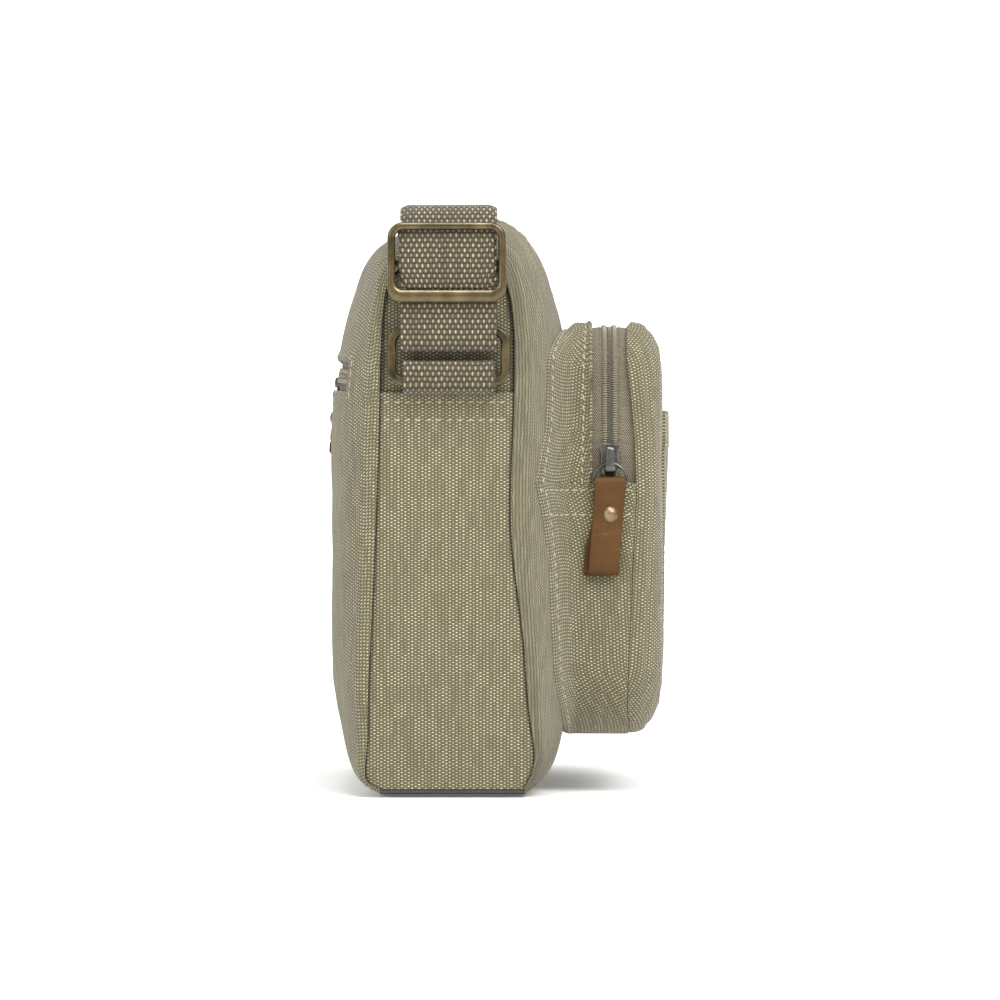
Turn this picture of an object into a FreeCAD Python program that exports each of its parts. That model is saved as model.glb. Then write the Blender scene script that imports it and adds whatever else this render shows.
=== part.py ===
"""Canvas messenger bag with a zipped front pocket, a zipped back pocket and an adjustable webbing strap.

Frame: millimetres, +Z up. The origin is the middle of the flat base on the floor. X runs along the bag's
width (-X is the left end), +Y is the back that rests on the wearer, and -Y is the front with the pocket.
Every sub-part is written to parts/NODE.step.
"""
import FreeCAD
import Part
import math
import os

Vec = FreeCAD.Vector
AXIS_X = Vec(1, 0, 0)
AXIS_Y = Vec(0, 1, 0)
AXIS_Z = Vec(0, 0, 1)

# ---------------------------------------------------------------- driving dimensions
BAG_WIDTH = 260.0            # end gusset to end gusset, along X
BAG_HEIGHT = 233.0           # floor to the top ridge of the canvas body
BACK_DEPTH = 50.8            # base centre to the back panel at its fullest
FRONT_DEPTH = 44.8           # base centre to the front panel
END_ROUND = 50.0             # how far in from each end the front and back panels reach full depth
TOP_ROUND = 22.0             # the same for the top and the base
WALL = 2.4                   # canvas, interlining and seam allowance
SEAM_HEIGHT = 161.6          # top edge of the lower gusset panel
SEAM_LAP = 0.1               # how far the panels wrap over the gusset's edge
CLOTH = 0.6                  # lining cloth
LINING_INSET = 6.2           # outer canvas face to the lining
POUCH_INSET = 5.3            # outer canvas face to the back pocket's pouch
TAPE = 0.8                   # zip tape thickness
TAPE_GAP = 0.1               # canvas to the tape behind it
CHAIN_WIDTH = 6.4            # closed coil
CHAIN_HEIGHT = 1.6
CHAIN_SPLIT = 1.0            # groove between the two coil rows
TAPE_WIDTH = 11.0            # one tape, from the middle of the chain
MAIN_TAPE_WIDTH = 9.0        # the same at the main opening
SLOT_WIDTH = 10.4            # opening in the canvas that shows the chain
BACK_SLOT_WIDTH = 12.4
BACK_SLOT_END = 14.0         # end gusset to the end of the back pocket's opening
BACK_SLOT_HEIGHT = 169.6     # its middle, above the floor
MAIN_SLOT_END = 32.0         # end gusset to the end of the main opening
MAIN_ZIP_Y = -24.0           # middle of the main zip
BOARD = 1.0                  # base stiffener

POCKET_END = 25.0            # end gusset to the side of the front pocket
POCKET_BOTTOM = 23.4
POCKET_TOP = 191.6
POCKET_TOP_ROUND = 21.0      # corner radius seen from the front
POCKET_LOW_ROUND = 30.0
POCKET_RIM = 72.0            # base centre to the seam between pocket side and pocket face
FACE_RISE = 12.4             # how far the face swells beyond that seam
FACE_ROUND = 20.0            # width of its rounded edge
POCKET_ZIP_DEPTH = 62.5      # base centre to the middle of the pocket's zip
POCKET_ZIP_END = 125.6       # height of both ends of that zip
SLIP_HALF = 72.0             # flat slip pocket on the face
SLIP_TOP = 155.6
SLIP_BOTTOM = 50.0
SLIP_CLOTH = 1.8
BINDING = 1.2

WEBBING = 38.0               # strap width
TAB_NARROWER = 1.0           # how much narrower the webbing of the ring tabs is
WEB = 1.6                    # webbing thickness
STRAP_FRONT = -16.5          # front edge of the strap along Y, clear of the main zip
STRAP_RISE = 3.4             # top ridge of the canvas to the strap's centreline
STRAP_BEND = 12.4            # bend over each top edge
STRAP_OUT = 8.4              # left end gusset to the strap's centreline
RETURN_OUT = 1.3             # left end gusset to the centreline of the return run
CUT = 0.3                    # gap where the strap passes from one rigid body to the next

RING_OUT = 4.0               # gusset to the middle of a strap ring
RING_PLAY = 3.8              # webbing's edges to the insides of the ring, both together
RING_LOW = 164.4
RING_HIGH = 188.0
RING_BAR = 3.6
RING_THICK = 3.0
RING_ROUND = 6.5
PIN = 1.5                    # radius of the ring's round upper and lower bars

GLIDE_PLAY = 3.4             # the same in the strap adjuster
GLIDE_HEIGHT = 32.0
GLIDE_MIDDLE = 213.4
GLIDE_THICK = 3.0
GLIDE_SIDE = 3.0
GLIDE_TOP_BAR = 3.0
GLIDE_LOW_BAR = 5.2
GLIDE_ROUND = 5.6
GLIDE_PIN = 1.2              # radius of its middle bar
GLIDE_CLEAR = 0.3            # frame to the webbing behind it

HANK_LEGS = 7                # runs of webbing in the folded strap at the right end
HANK_PITCH = 3.2
HANK_TOP = 206.0
HANK_BOTTOM = 72.0
HANK_RING_OUT = 6.7          # right gusset to the innermost run
TAIL_TOP = 200.0             # end of the strap where it is sewn back
KEEPER_HEIGHT = 8.0
KEEPER_WALL = 1.0

SLIDER_WIDTH = 8.4
SLIDER_LENGTH = 12.6
PLATE = 1.4                  # slider's upper plate
SOLE = 0.9                   # slider's lower plate
NECK = 0.6
SLIDE_CLEAR = 0.35
SOLE_CLEAR = 0.3             # more under the tapes, as they curve with the canvas
RING_CLEAR = 0.65            # pull wire to the roof of the bridge
BRIDGE_WIDTH = 4.0
BRIDGE_HEIGHT = 4.2
BRIDGE_WALL = 0.9
WIRE = 0.6                   # radius of a pull ring's wire
PULL_DROP = 7.7              # bow's crown to the straight bar
BACK_DROP = 12.4             # the same on the back pocket's ring, which hangs by its side
LEATHER = 1.5
LONG_PULL = 39.2
LONG_WIDTH = 12.0
SHORT_PULL = 26.0
SHORT_WIDTH = 9.6
SHORT_LEATHER = 1.1
BACK_SLIDER_X = 62.0        # where the back pocket's slider stands
BACK_PULL_LEAN = 4.0         # degrees its leather stands off, as the canvas below is fuller
MAIN_SLIDER_END = 14.0       # the main slider, from the closed end of its opening
RIVET = 3.2                  # radius of the rivet's cap
RIVET_DOME = 1.5
RIVET_POST = 1.4

HALF = BAG_WIDTH / 2
BACK_SLOT_HALF = HALF - BACK_SLOT_END
MAIN_SLOT_HALF = HALF - MAIN_SLOT_END
MAIN_SLIDER_X = MAIN_SLOT_HALF - MAIN_SLIDER_END
POCKET_HALF = HALF - POCKET_END
STRAP_Y = STRAP_FRONT + WEBBING / 2
STRAP_TOP = BAG_HEIGHT + STRAP_RISE
TAB_WEBBING = WEBBING - TAB_NARROWER
RING_LENGTH = WEBBING + 2 * RING_BAR + RING_PLAY
GLIDE_LENGTH = WEBBING + 2 * GLIDE_SIDE + GLIDE_PLAY
EPS = 0.01
BACK_SEAT = (BACK_DEPTH, BACK_SLOT_HEIGHT)
MAIN_SEAT = (MAIN_ZIP_Y, BAG_HEIGHT)

# Side outline of the fullest section, and of the flat end gusset inside it, as (y, z) pairs with shares of
# the driving depths and height, counter-clockwise seen from -X, from the back of the base round the back.
FULL = [(30.0, 0.0), (39.4, 6.4), (45.2, 20.0), (49.6, 41.0), (BACK_DEPTH, 64.0), (BACK_DEPTH, 112.0),
        (BACK_DEPTH - 0.8, 162.0), (BACK_DEPTH - 5.0, 188.0), (BACK_DEPTH - 10.4, BAG_HEIGHT - 27.0),
        (BACK_DEPTH - 18.0, BAG_HEIGHT - 13.0), (22.0, BAG_HEIGHT - 6.0), (5.0, BAG_HEIGHT - 1.2),
        (-11.0, BAG_HEIGHT), (-19.0, BAG_HEIGHT - 1.4), (-27.0, BAG_HEIGHT - 6.6),
        (-FRONT_DEPTH + 9.6, BAG_HEIGHT - 18.5), (-FRONT_DEPTH + 3.8, BAG_HEIGHT - 35.0),
        (-FRONT_DEPTH + 0.4, 180.0), (-FRONT_DEPTH, 148.0), (-FRONT_DEPTH, 104.0), (-FRONT_DEPTH, 60.0),
        (-FRONT_DEPTH + 0.8, 26.0), (-FRONT_DEPTH + 5.8, 10.0), (-28.0, 0.0)]
GUSSET = [(30.0, 3.0), (34.6, 5.0), (35.8, 16.0), (35.0, 38.0), (34.0, 62.0), (31.8, 112.0),
          (30.4, 158.0), (29.8, 180.0), (28.8, BAG_HEIGHT - 37.0),
          (25.6, BAG_HEIGHT - 25.0), (17.0, BAG_HEIGHT - 18.6), (4.0, BAG_HEIGHT - 16.0),
          (-7.5, BAG_HEIGHT - 16.0), (-13.6, BAG_HEIGHT - 18.0), (-18.4, BAG_HEIGHT - 22.6),
          (-21.8, BAG_HEIGHT - 31.0), (-23.6, BAG_HEIGHT - 44.0),
          (-24.0, 172.0), (-23.4, 146.0), (-22.6, 106.0), (-27.6, 62.0),
          (-30.6, 28.0), (-31.6, 12.0), (-28.0, 3.0)]
# Length of the rounding towards the end at each of those points: short on the base and top.
ROUNDS = [TOP_ROUND, 30.0, 42.0] + [END_ROUND] * 6 + [36.0] + [TOP_ROUND] * 5 + [30.0, 42.0] + \
         [END_ROUND] * 5 + [34.0, TOP_ROUND]
STATIONS = [0.0, 1.2, 4.5, 10.0, 18.0, 28.0, 39.0, 46.0, END_ROUND]    # distances in from an end where sections stand

# The linings inside follow the same outline more loosely, as cloth rounds off the corners.
SOFT_INSET = 4.0
SOFT_POINTS = [0, 2, 4, 5, 7, 9, 11, 13, 15, 17, 19, 21, 23]
SOFT_STATIONS = [0.0, 6.0, 18.0, END_ROUND]


# ---------------------------------------------------------------- helpers
def box(x0, x1, y0, y1, z0, z1):
    return Part.makeBox(x1 - x0, y1 - y0, z1 - z0, Vec(x0, y0, z0))


def cylinder_y(x, y0, y1, z, radius):
    return Part.makeCylinder(radius, y1 - y0, Vec(x, y0, z), AXIS_Y)


def largest(shape):
    """The one solid of a cut, without slivers."""
    solids = sorted(shape.Solids, key=lambda s: s.Volume)
    return solids[-1]


def kept(shape, least=20.0):
    solids = [s for s in shape.Solids if s.Volume > least]
    return Part.Compound(solids) if len(solids) > 1 else solids[0]


def prism(points, lift):
    """A closed polygon swept by the vector lift."""
    wire = Part.makePolygon(points + [points[0]])
    return Part.Face(wire).extrude(lift)


def prism_yz(points, x0, x1):
    return prism([Vec(x0, y, z) for y, z in points], Vec(x1 - x0, 0, 0))


def rounded_wire(y, x_half, z_low, z_high, r_top, r_low):
    """A rounded rectangle in the plane of the given y, seen from the front."""
    r_top, r_low = max(r_top, 1.0), max(r_low, 1.0)
    d = math.sqrt(0.5)

    def p(x, z):
        return Vec(x, y, z)

    def arc(cx, cz, r, a, b, c):
        return Part.Arc(p(cx + r * a[0], cz + r * a[1]), p(cx + r * b[0], cz + r * b[1]),
                        p(cx + r * c[0], cz + r * c[1])).toShape()

    def line(x0, z0, x1, z1):
        return Part.makeLine(p(x0, z0), p(x1, z1))

    h = x_half
    return Part.Wire([
        line(-h + r_low, z_low, h - r_low, z_low),
        arc(h - r_low, z_low + r_low, r_low, (0, -1), (d, -d), (1, 0)),
        line(h, z_low + r_low, h, z_high - r_top),
        arc(h - r_top, z_high - r_top, r_top, (1, 0), (d, d), (0, 1)),
        line(h - r_top, z_high, -h + r_top, z_high),
        arc(-h + r_top, z_high - r_top, r_top, (0, 1), (-d, d), (-1, 0)),
        line(-h, z_high - r_top, -h, z_low + r_low),
        arc(-h + r_low, z_low + r_low, r_low, (-1, 0), (-d, -d), (0, -1))])


def strip(path, radii, thickness, y0, y1, side=0.0):
    """Webbing or leather: a path of (x, z) points with a bend radius at each inner one, given a thickness
    either side of it and a width from y0 to y1. side shifts it off the path."""
    edges = {1: [], -1: []}
    corners = []
    for sign in (1, -1):
        offset = side + sign * thickness / 2
        previous = None
        last = len(path) - 1
        for i, (x, z) in enumerate(path):
            here = Vec(x, 0, z)
            if i in (0, last):
                other = path[1] if i == 0 else path[last - 1]
                along = (Vec(other[0], 0, other[1]) - here) * (1 if i == 0 else -1)
                along.normalize()
                point = here + left_of(along) * offset
                if i == 0:
                    first = point
                else:
                    edges[sign].append(Part.makeLine(previous, point))
                    end = point
                previous = point
                continue
            before = here - Vec(path[i - 1][0], 0, path[i - 1][1])
            after = Vec(path[i + 1][0], 0, path[i + 1][1]) - here
            before.normalize()
            after.normalize()
            turn = math.atan2(before.z * after.x - before.x * after.z, before.dot(after))
            reach = radii[i - 1] * math.tan(abs(turn) / 2)
            centre_side = -1 if turn > 0 else 1
            centre = here - before * reach + left_of(before) * centre_side * radii[i - 1]
            start = here - before * reach + left_of(before) * offset
            finish = here + after * reach + left_of(after) * offset
            middle = centre + (here - centre).normalize() * (radii[i - 1] - centre_side * offset)
            edges[sign].append(Part.makeLine(previous, start))
            edges[sign].append(Part.Arc(start, middle, finish).toShape())
            previous = finish
        corners.append((first, end))
    ring = edges[1] + [Part.makeLine(corners[0][1], corners[1][1])] + edges[-1]
    ring += [Part.makeLine(corners[1][0], corners[0][0])]
    wire = Part.Wire(Part.__sortEdges__(ring))
    face = Part.Face(wire)
    face.translate(Vec(0, y0, 0))
    return face.extrude(Vec(0, y1 - y0, 0))


def left_of(v):
    return Vec(-v.z, 0, v.x)


def webbing(path, radii, width, thickness=WEB, side=0.0):
    return strip(path, radii, thickness, STRAP_Y - width / 2, STRAP_Y + width / 2, side)


# ---------------------------------------------------------------- canvas body
def inward(outline, i, inset):
    """Point i of an outline moved in by the wall's inset, square to the outline there."""
    y0, z0 = outline[i - 1]
    y1, z1 = outline[(i + 1) % len(outline)]
    dy, dz = y1 - y0, z1 - z0
    size = math.hypot(dy, dz)
    y, z = outline[i]
    return (y - dz / size * inset, z + dy / size * inset)


def body_section(distance, x, inset):
    """The body's closed section at a distance in from an end."""
    points = []
    for full, end, length in zip(FULL, GUSSET, ROUNDS):
        share = min(distance / length, 1.0)
        share = math.sqrt(1 - (1 - share) ** 2)
        points.append((end[0] + (full[0] - end[0]) * share, end[1] + (full[1] - end[1]) * share))
    shrunk = [inward(points, i, inset) for i in range(len(points))]
    if inset > SOFT_INSET:
        shrunk = [shrunk[i] for i in SOFT_POINTS]
    spots = [Vec(x, y, z) for y, z in shrunk]
    curve = Part.BSplineCurve()
    curve.interpolate(spots)
    return Part.Wire([curve.toShape(), Part.makeLine(spots[-1], spots[0])])


def body_solid(inset):
    """The whole canvas body as one solid, shrunk by the inset: a straight middle and two rounded ends."""
    reach = (HALF - inset) / HALF
    start = (HALF - END_ROUND) * reach
    stations = SOFT_STATIONS if inset > SOFT_INSET else STATIONS
    end = Part.makeLoft([body_section(d, -(HALF - d) * reach, inset) for d in stations], True, False)
    middle = Part.Face(body_section(END_ROUND, -start, inset)).extrude(Vec(2 * start, 0, 0))
    whole = middle.fuse([end, end.mirror(Vec(0, 0, 0), AXIS_X)])
    return whole.cut(box(-HALF - 5, HALF + 5, -90, 90, -9, inset - 0.001)) if inset else whole


def gusset_outline(x0, x1):
    face = Part.Face(body_section(0.0, x0, SEAM_LAP))
    return face.extrude(Vec(x1 - x0, 0, 0))


def skin_at(y, z):
    """The nearest point of the fullest section, and how far its outward normal leans from +Z towards -Y."""
    curve = body_section(END_ROUND, 0.0, 0.0).Edges[0].Curve
    for _ in range(3):
        at = curve.parameter(Vec(0, y, z))
        if z < BAG_HEIGHT:
            y = curve.value(at).y
    along = curve.tangent(at)[0]
    return curve.value(at), math.degrees(math.atan2(along.z, along.y)) + 180.0


def on_zip(shape, seat):
    """Places a shape made about the X axis on a zip's middle, with +Z turned to the canvas's normal."""
    spot, lean = skin_at(*seat)
    shape.rotate(Vec(0, 0, 0), AXIS_X, lean)
    shape.translate(spot)
    return shape


def band(seat, half, low, high):
    """A box that takes the stretch between two distances across a zip, to either side of its middle."""
    return on_zip(box(-half, half, low, high, -12, 12), seat)


def layer(outer, inner, region):
    """The stretch of the skin between two insets that lies in a region."""
    return body(outer).cut(body(inner)).common(region)


BODIES = {}


def body(inset):
    if inset not in BODIES:
        BODIES[inset] = body_solid(inset)
    return BODIES[inset]


def canvas_panels():
    shell = body(0.0).cut(body(WALL))
    out = {}
    cap = HALF - WALL
    for side, x0, x1 in (("left", -HALF, -cap), ("right", cap, HALF)):
        panel = gusset_outline(x0, x1)
        out["gusset_lower_" + side] = kept(panel.common(box(x0, x1, -60, 60, -1, SEAM_HEIGHT)))
        out["gusset_upper_" + side] = kept(panel.common(box(x0, x1, -60, 60, SEAM_HEIGHT, 260)))
        shell = shell.cut(gusset_outline(x0 - (1 if x0 < 0 else 0.2), x1 + (0.2 if x0 < 0 else 1)))
    base_tool = box(-HALF - 1, HALF + 1, -29.0, 31.0, -2, 9)
    out["base_panel"] = kept(shell.common(base_tool))
    shell = shell.cut(base_tool)
    shell = shell.cut(band(MAIN_SEAT, MAIN_SLOT_HALF, -SLOT_WIDTH / 2, SLOT_WIDTH / 2))
    shell = shell.cut(band(BACK_SEAT, BACK_SLOT_HALF, -BACK_SLOT_WIDTH / 2, BACK_SLOT_WIDTH / 2))
    front_side = prism_yz([(-90, -5), (-5, -5), (-5, 120), (MAIN_ZIP_Y, 200), (MAIN_ZIP_Y, 260), (-90, 260)],
                          -HALF - 2, HALF + 2)
    out["front_panel"] = largest(shell.common(front_side))
    out["back_panel"] = largest(shell.cut(front_side))
    return out


def base_board():
    face = POUCH_INSET - BOARD + 0.05
    return {"base_board": box(-MAIN_SLOT_HALF + 5, MAIN_SLOT_HALF - 5, -23, 25, face, face + BOARD)}


def linings():
    top_open = box(-MAIN_SLOT_HALF, MAIN_SLOT_HALF, -40, 12, BAG_HEIGHT - 14, BAG_HEIGHT + 9)
    inner = body(LINING_INSET).cut(body(LINING_INSET + CLOTH)).cut(top_open)
    low = 70.0
    pouch_region = box(-BACK_SLOT_HALF + 2, BACK_SLOT_HALF - 2, 25, 70, low, BACK_SLOT_HEIGHT + 13)
    return {"lining": kept(inner), "back_pocket_pouch": kept(layer(POUCH_INSET, POUCH_INSET + CLOTH, pouch_region))}


# ---------------------------------------------------------------- zips on the body
def two_sides(make, low, high):
    """Both rows of a zip part, either side of the chain's middle."""
    return Part.Compound([make(low, high), make(-high, -low)])


def body_zips():
    """Tapes behind both openings of the body, and the coils that show through them."""
    inner = WALL + TAPE_GAP
    coil = CHAIN_WIDTH / 2
    split = CHAIN_SPLIT / 2
    out = {}
    for name, seat, half, tape in (("back", BACK_SEAT, BACK_SLOT_HALF, TAPE_WIDTH),
                                   ("main", MAIN_SEAT, MAIN_SLOT_HALF, MAIN_TAPE_WIDTH)):
        def tapes(a, b):
            return kept(layer(inner, inner + TAPE, band(seat, half + 4, a, b)))

        def coils(a, b):
            return kept(layer(inner - CHAIN_HEIGHT, inner, band(seat, half - 1, a, b)))

        out[name + "_zip_tapes"] = two_sides(tapes, split, tape)
        out[name + "_zip_coils"] = two_sides(coils, split, coil)
    return out


# ---------------------------------------------------------------- front pocket
def pocket_ring(outer, inner, y0, y1):
    """A band round the pocket between two insets from its outline, from depth y0 out to y1."""
    def filled(inset):
        wire = rounded_wire(-y1, POCKET_HALF - inset, POCKET_BOTTOM + inset, POCKET_TOP - inset,
                            POCKET_TOP_ROUND - inset, POCKET_LOW_ROUND - inset)
        return Part.Face(wire).extrude(Vec(0, y1 - y0, 0))
    return filled(outer).cut(filled(inner))


def face_solid(inset):
    """The pocket's face as a swollen, closed form. A larger inset gives its inner surface."""
    wires = []
    for share in (0.0, 0.35, 0.65, 0.86, 0.97, 1.0):
        edge = 1 - math.sqrt(1 - share ** 2)
        side = FACE_ROUND * edge + inset
        low = FACE_ROUND * 1.3 * edge + inset
        wires.append(rounded_wire(-(POCKET_RIM + (FACE_RISE - inset) * share), POCKET_HALF - side,
                                  POCKET_BOTTOM + low, POCKET_TOP - side,
                                  POCKET_TOP_ROUND - inset + 4 * share, POCKET_LOW_ROUND - inset + 4 * share))
    return Part.makeLoft(wires, True, False)


def front_pocket():
    upper = box(-200, 200, -200, 0, POCKET_ZIP_END, 260)
    lower = box(-200, 200, -200, 0, 0, POCKET_ZIP_END)
    hull = body(0.0)
    back_edge = POCKET_ZIP_DEPTH - SLOT_WIDTH / 2 - 3.2
    front_edge = POCKET_RIM - 0.6
    tape_in = WALL + TAPE_GAP
    coil = CHAIN_WIDTH / 2
    half_split = CHAIN_SPLIT / 2
    zone = box(-200, 200, -200, 0, POCKET_ZIP_END + 0.6, 260)

    def tape(a, b):
        return pocket_ring(tape_in, tape_in + TAPE, POCKET_ZIP_DEPTH + a, POCKET_ZIP_DEPTH + b).common(zone)

    def rows(a, b):
        return pocket_ring(tape_in - CHAIN_HEIGHT, tape_in, POCKET_ZIP_DEPTH + a, POCKET_ZIP_DEPTH + b).common(zone)

    strip_band = pocket_ring(0.0, WALL, 25.0, back_edge).common(upper)
    lower_band = pocket_ring(0.0, WALL, 20.0, front_edge).common(lower)
    rim = pocket_ring(0.0, WALL, front_edge, POCKET_RIM)
    face = face_solid(0.0).cut(face_solid(WALL))
    tab_y = -(POCKET_RIM + FACE_RISE) - EPS
    slip_bow = [(tab_y - SLIP_CLOTH, SLIP_TOP), (tab_y - 3.6, SLIP_TOP), (tab_y - 3.6, SLIP_TOP - 9),
                (tab_y - 2.6, 123), (tab_y - 1.9, 98), (tab_y - 1.5, SLIP_BOTTOM), (tab_y, SLIP_BOTTOM),
                (tab_y, 118)]
    slip = prism_yz(slip_bow, -SLIP_HALF, SLIP_HALF)
    wedge = [(tab_y, SLIP_TOP), (tab_y - SLIP_CLOTH, SLIP_TOP), (tab_y, 118)]
    for x in (-SLIP_HALF, SLIP_HALF - SLIP_CLOTH):
        slip = slip.fuse(prism_yz(wedge, x, x + SLIP_CLOTH))
    binding = box(-POCKET_HALF + POCKET_LOW_ROUND, POCKET_HALF - POCKET_LOW_ROUND, -51.0, -44.0,
                  POCKET_BOTTOM - BINDING, POCKET_BOTTOM).cut(hull)
    return {"pocket_side_upper": kept(strip_band.cut(hull)),
            "pocket_side_lower": kept(lower_band.cut(hull)),
            "pocket_face": kept(face.fuse(rim).removeSplitter()),
            "pocket_zip_tapes": Part.Compound([kept(tape(-TAPE_WIDTH, -half_split)),
                                               kept(tape(half_split, POCKET_RIM - POCKET_ZIP_DEPTH - 0.1))]),
            "pocket_zip_coils": Part.Compound([kept(rows(-coil, -half_split)), kept(rows(half_split, coil))]),
            "slip_pocket": slip,
            "pocket_seam_binding": kept(binding, 5.0)}


# ---------------------------------------------------------------- strap hardware
def ring_shape(x_middle):
    """A cast rectangular ring standing in the plane x = x_middle, with round upper and lower bars."""
    def plate(inset):
        length, low, high = RING_LENGTH / 2 - inset, RING_LOW + inset, RING_HIGH - inset
        wire = rounded_wire(0, length, low, high, RING_ROUND - inset, RING_ROUND - inset)
        solid = Part.Face(wire).extrude(Vec(0, RING_THICK, 0))
        solid.rotate(Vec(0, 0, 0), AXIS_Z, 90)
        return solid
    ring = plate(0.0).cut(plate(RING_BAR))
    edges = [e for e in ring.Edges if e.BoundBox.XLength < EPS]
    ring = ring.makeFillet(0.9, edges)
    ring.translate(Vec(x_middle + RING_THICK / 2, STRAP_Y, 0))
    flat = RING_LENGTH / 2 - RING_ROUND
    for z in (RING_LOW + RING_BAR / 2, RING_HIGH - RING_BAR / 2):
        ring = ring.cut(box(x_middle - 4, x_middle + 4, STRAP_Y - flat, STRAP_Y + flat, z - 2.4, z + 2.4))
        ring = ring.fuse(cylinder_y(x_middle, STRAP_Y - flat - 0.6, STRAP_Y + flat + 0.6, z, PIN))
    return kept(ring)


def ring_tab(side):
    """Webbing loop sewn into the gusset seam, round the ring's lower bar. side is -1 left, +1 right."""
    back = HALF + WEB / 2
    front = back + 2 * (RING_OUT - WEB / 2)
    top = RING_LOW + 9.3
    path = [(back, SEAM_HEIGHT - 0.6), (back, top), (front, top), (front, SEAM_HEIGHT + 1.0),
            (back + WEB, SEAM_HEIGHT - 1.4)]
    bend = (front - back) / 2 - 0.05
    return webbing([(side * x, z) for x, z in path], [bend, bend, 2.2], TAB_WEBBING)


def adjuster_frame():
    """The tri-glide: a flat frame in front of the strap and a round middle bar behind it."""
    x_front = -HALF - STRAP_OUT - WEB / 2 - GLIDE_CLEAR
    low, high = GLIDE_MIDDLE - GLIDE_HEIGHT / 2, GLIDE_MIDDLE + GLIDE_HEIGHT / 2
    outer = Part.Face(rounded_wire(0, GLIDE_LENGTH / 2, low, high, GLIDE_ROUND, GLIDE_ROUND))
    hole = Part.Face(rounded_wire(0, GLIDE_LENGTH / 2 - GLIDE_SIDE, low + GLIDE_LOW_BAR, high - GLIDE_TOP_BAR,
                                  2.6, 2.6))
    plate = outer.cut(hole).extrude(Vec(0, GLIDE_THICK, 0))
    plate.rotate(Vec(0, 0, 0), AXIS_Z, 90)
    edges = [e for e in plate.Edges if e.BoundBox.XLength < EPS]
    plate = plate.makeFillet(1.1, edges)
    plate.translate(Vec(x_front, STRAP_Y, 0))
    bar_x = -HALF - (STRAP_OUT + RETURN_OUT) / 2
    ear_half = 3.2
    frame = plate
    for side in (-1, 1):
        y_in = STRAP_Y + side * (WEBBING / 2 + 0.5)
        y_out = STRAP_Y + side * (GLIDE_LENGTH / 2 - 0.4)
        ear = box(x_front - 1.5, bar_x + 1.6, min(y_in, y_out), max(y_in, y_out),
                  GLIDE_MIDDLE - ear_half, GLIDE_MIDDLE + ear_half)
        ear = ear.makeFillet(1.0, [e for e in ear.Edges if e.BoundBox.XLength > 2])
        frame = frame.fuse(ear)
    frame = frame.fuse(cylinder_y(bar_x, STRAP_Y - WEBBING / 2 - 1, STRAP_Y + WEBBING / 2 + 1, GLIDE_MIDDLE,
                                  GLIDE_PIN))
    return kept(frame)


def strap_parts():
    left = -HALF - STRAP_OUT
    back = -HALF - RETURN_OUT
    corner = -HALF + 4.0                                   # where the bend over the edge meets the top run
    turn = (STRAP_OUT - RETURN_OUT) / 2 - 0.01
    loop_low = 182.5 - turn
    left_run = webbing([(corner, STRAP_TOP), (left, STRAP_TOP), (left, loop_low), (back, loop_low),
                        (back, 206.0)], [STRAP_BEND - 0.01, turn, turn], WEBBING)
    bar_x = (left + back) / 2
    wrap = GLIDE_PIN + 0.05 + 0.6
    eye = webbing([(bar_x - wrap, 201.0), (bar_x - wrap, GLIDE_MIDDLE + wrap), (bar_x + wrap, GLIDE_MIDDLE + wrap),
                   (bar_x + wrap, 199.0)], [wrap - 0.01, wrap - 0.01], WEBBING - 0.4, 1.2)
    right_pivot = HALF - 4.0
    top_run = webbing([(corner + CUT, STRAP_TOP), (right_pivot - CUT, STRAP_TOP)], [], WEBBING)
    right_ring = HALF + HANK_RING_OUT
    tail = HALF + RETURN_OUT
    bend = HANK_PITCH / 2 - 0.01
    around = (HANK_RING_OUT - RETURN_OUT) / 2 - 0.01
    path = [(tail, TAIL_TOP), (tail, 181.6 - around), (right_ring, 181.6 - around)]
    radii = [around, around]
    x = right_ring
    for leg in range(HANK_LEGS - 1):
        z = HANK_TOP if leg % 2 == 0 else HANK_BOTTOM
        path += [(x, z), (x + HANK_PITCH, z)]
        radii += [bend, bend]
        x += HANK_PITCH
    path += [(x, HANK_TOP), (right_pivot + 10, STRAP_TOP), (right_pivot, STRAP_TOP)]
    radii += [22.0, 8.0]
    hank = webbing(path, radii, WEBBING)
    inner_face = right_ring + HANK_PITCH - WEB / 2 - 0.3
    outer_face = x + WEB / 2 + 0.3
    half = WEBBING / 2 + 0.3
    mid = (HANK_TOP + HANK_BOTTOM) / 2
    band = box(inner_face - KEEPER_WALL, outer_face + KEEPER_WALL, STRAP_Y - half - KEEPER_WALL,
               STRAP_Y + half + KEEPER_WALL, mid - KEEPER_HEIGHT / 2, mid + KEEPER_HEIGHT / 2)
    band = band.makeFillet(1.2, [e for e in band.Edges if e.BoundBox.ZLength > 5])
    band = band.cut(box(inner_face, outer_face, STRAP_Y - half, STRAP_Y + half, mid - 9, mid + 9))
    return {"strap_left_run": left_run, "strap_sewn_eye": eye, "strap_top_run": top_run,
            "strap_folded_hank": hank, "strap_keeper": band}


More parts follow.
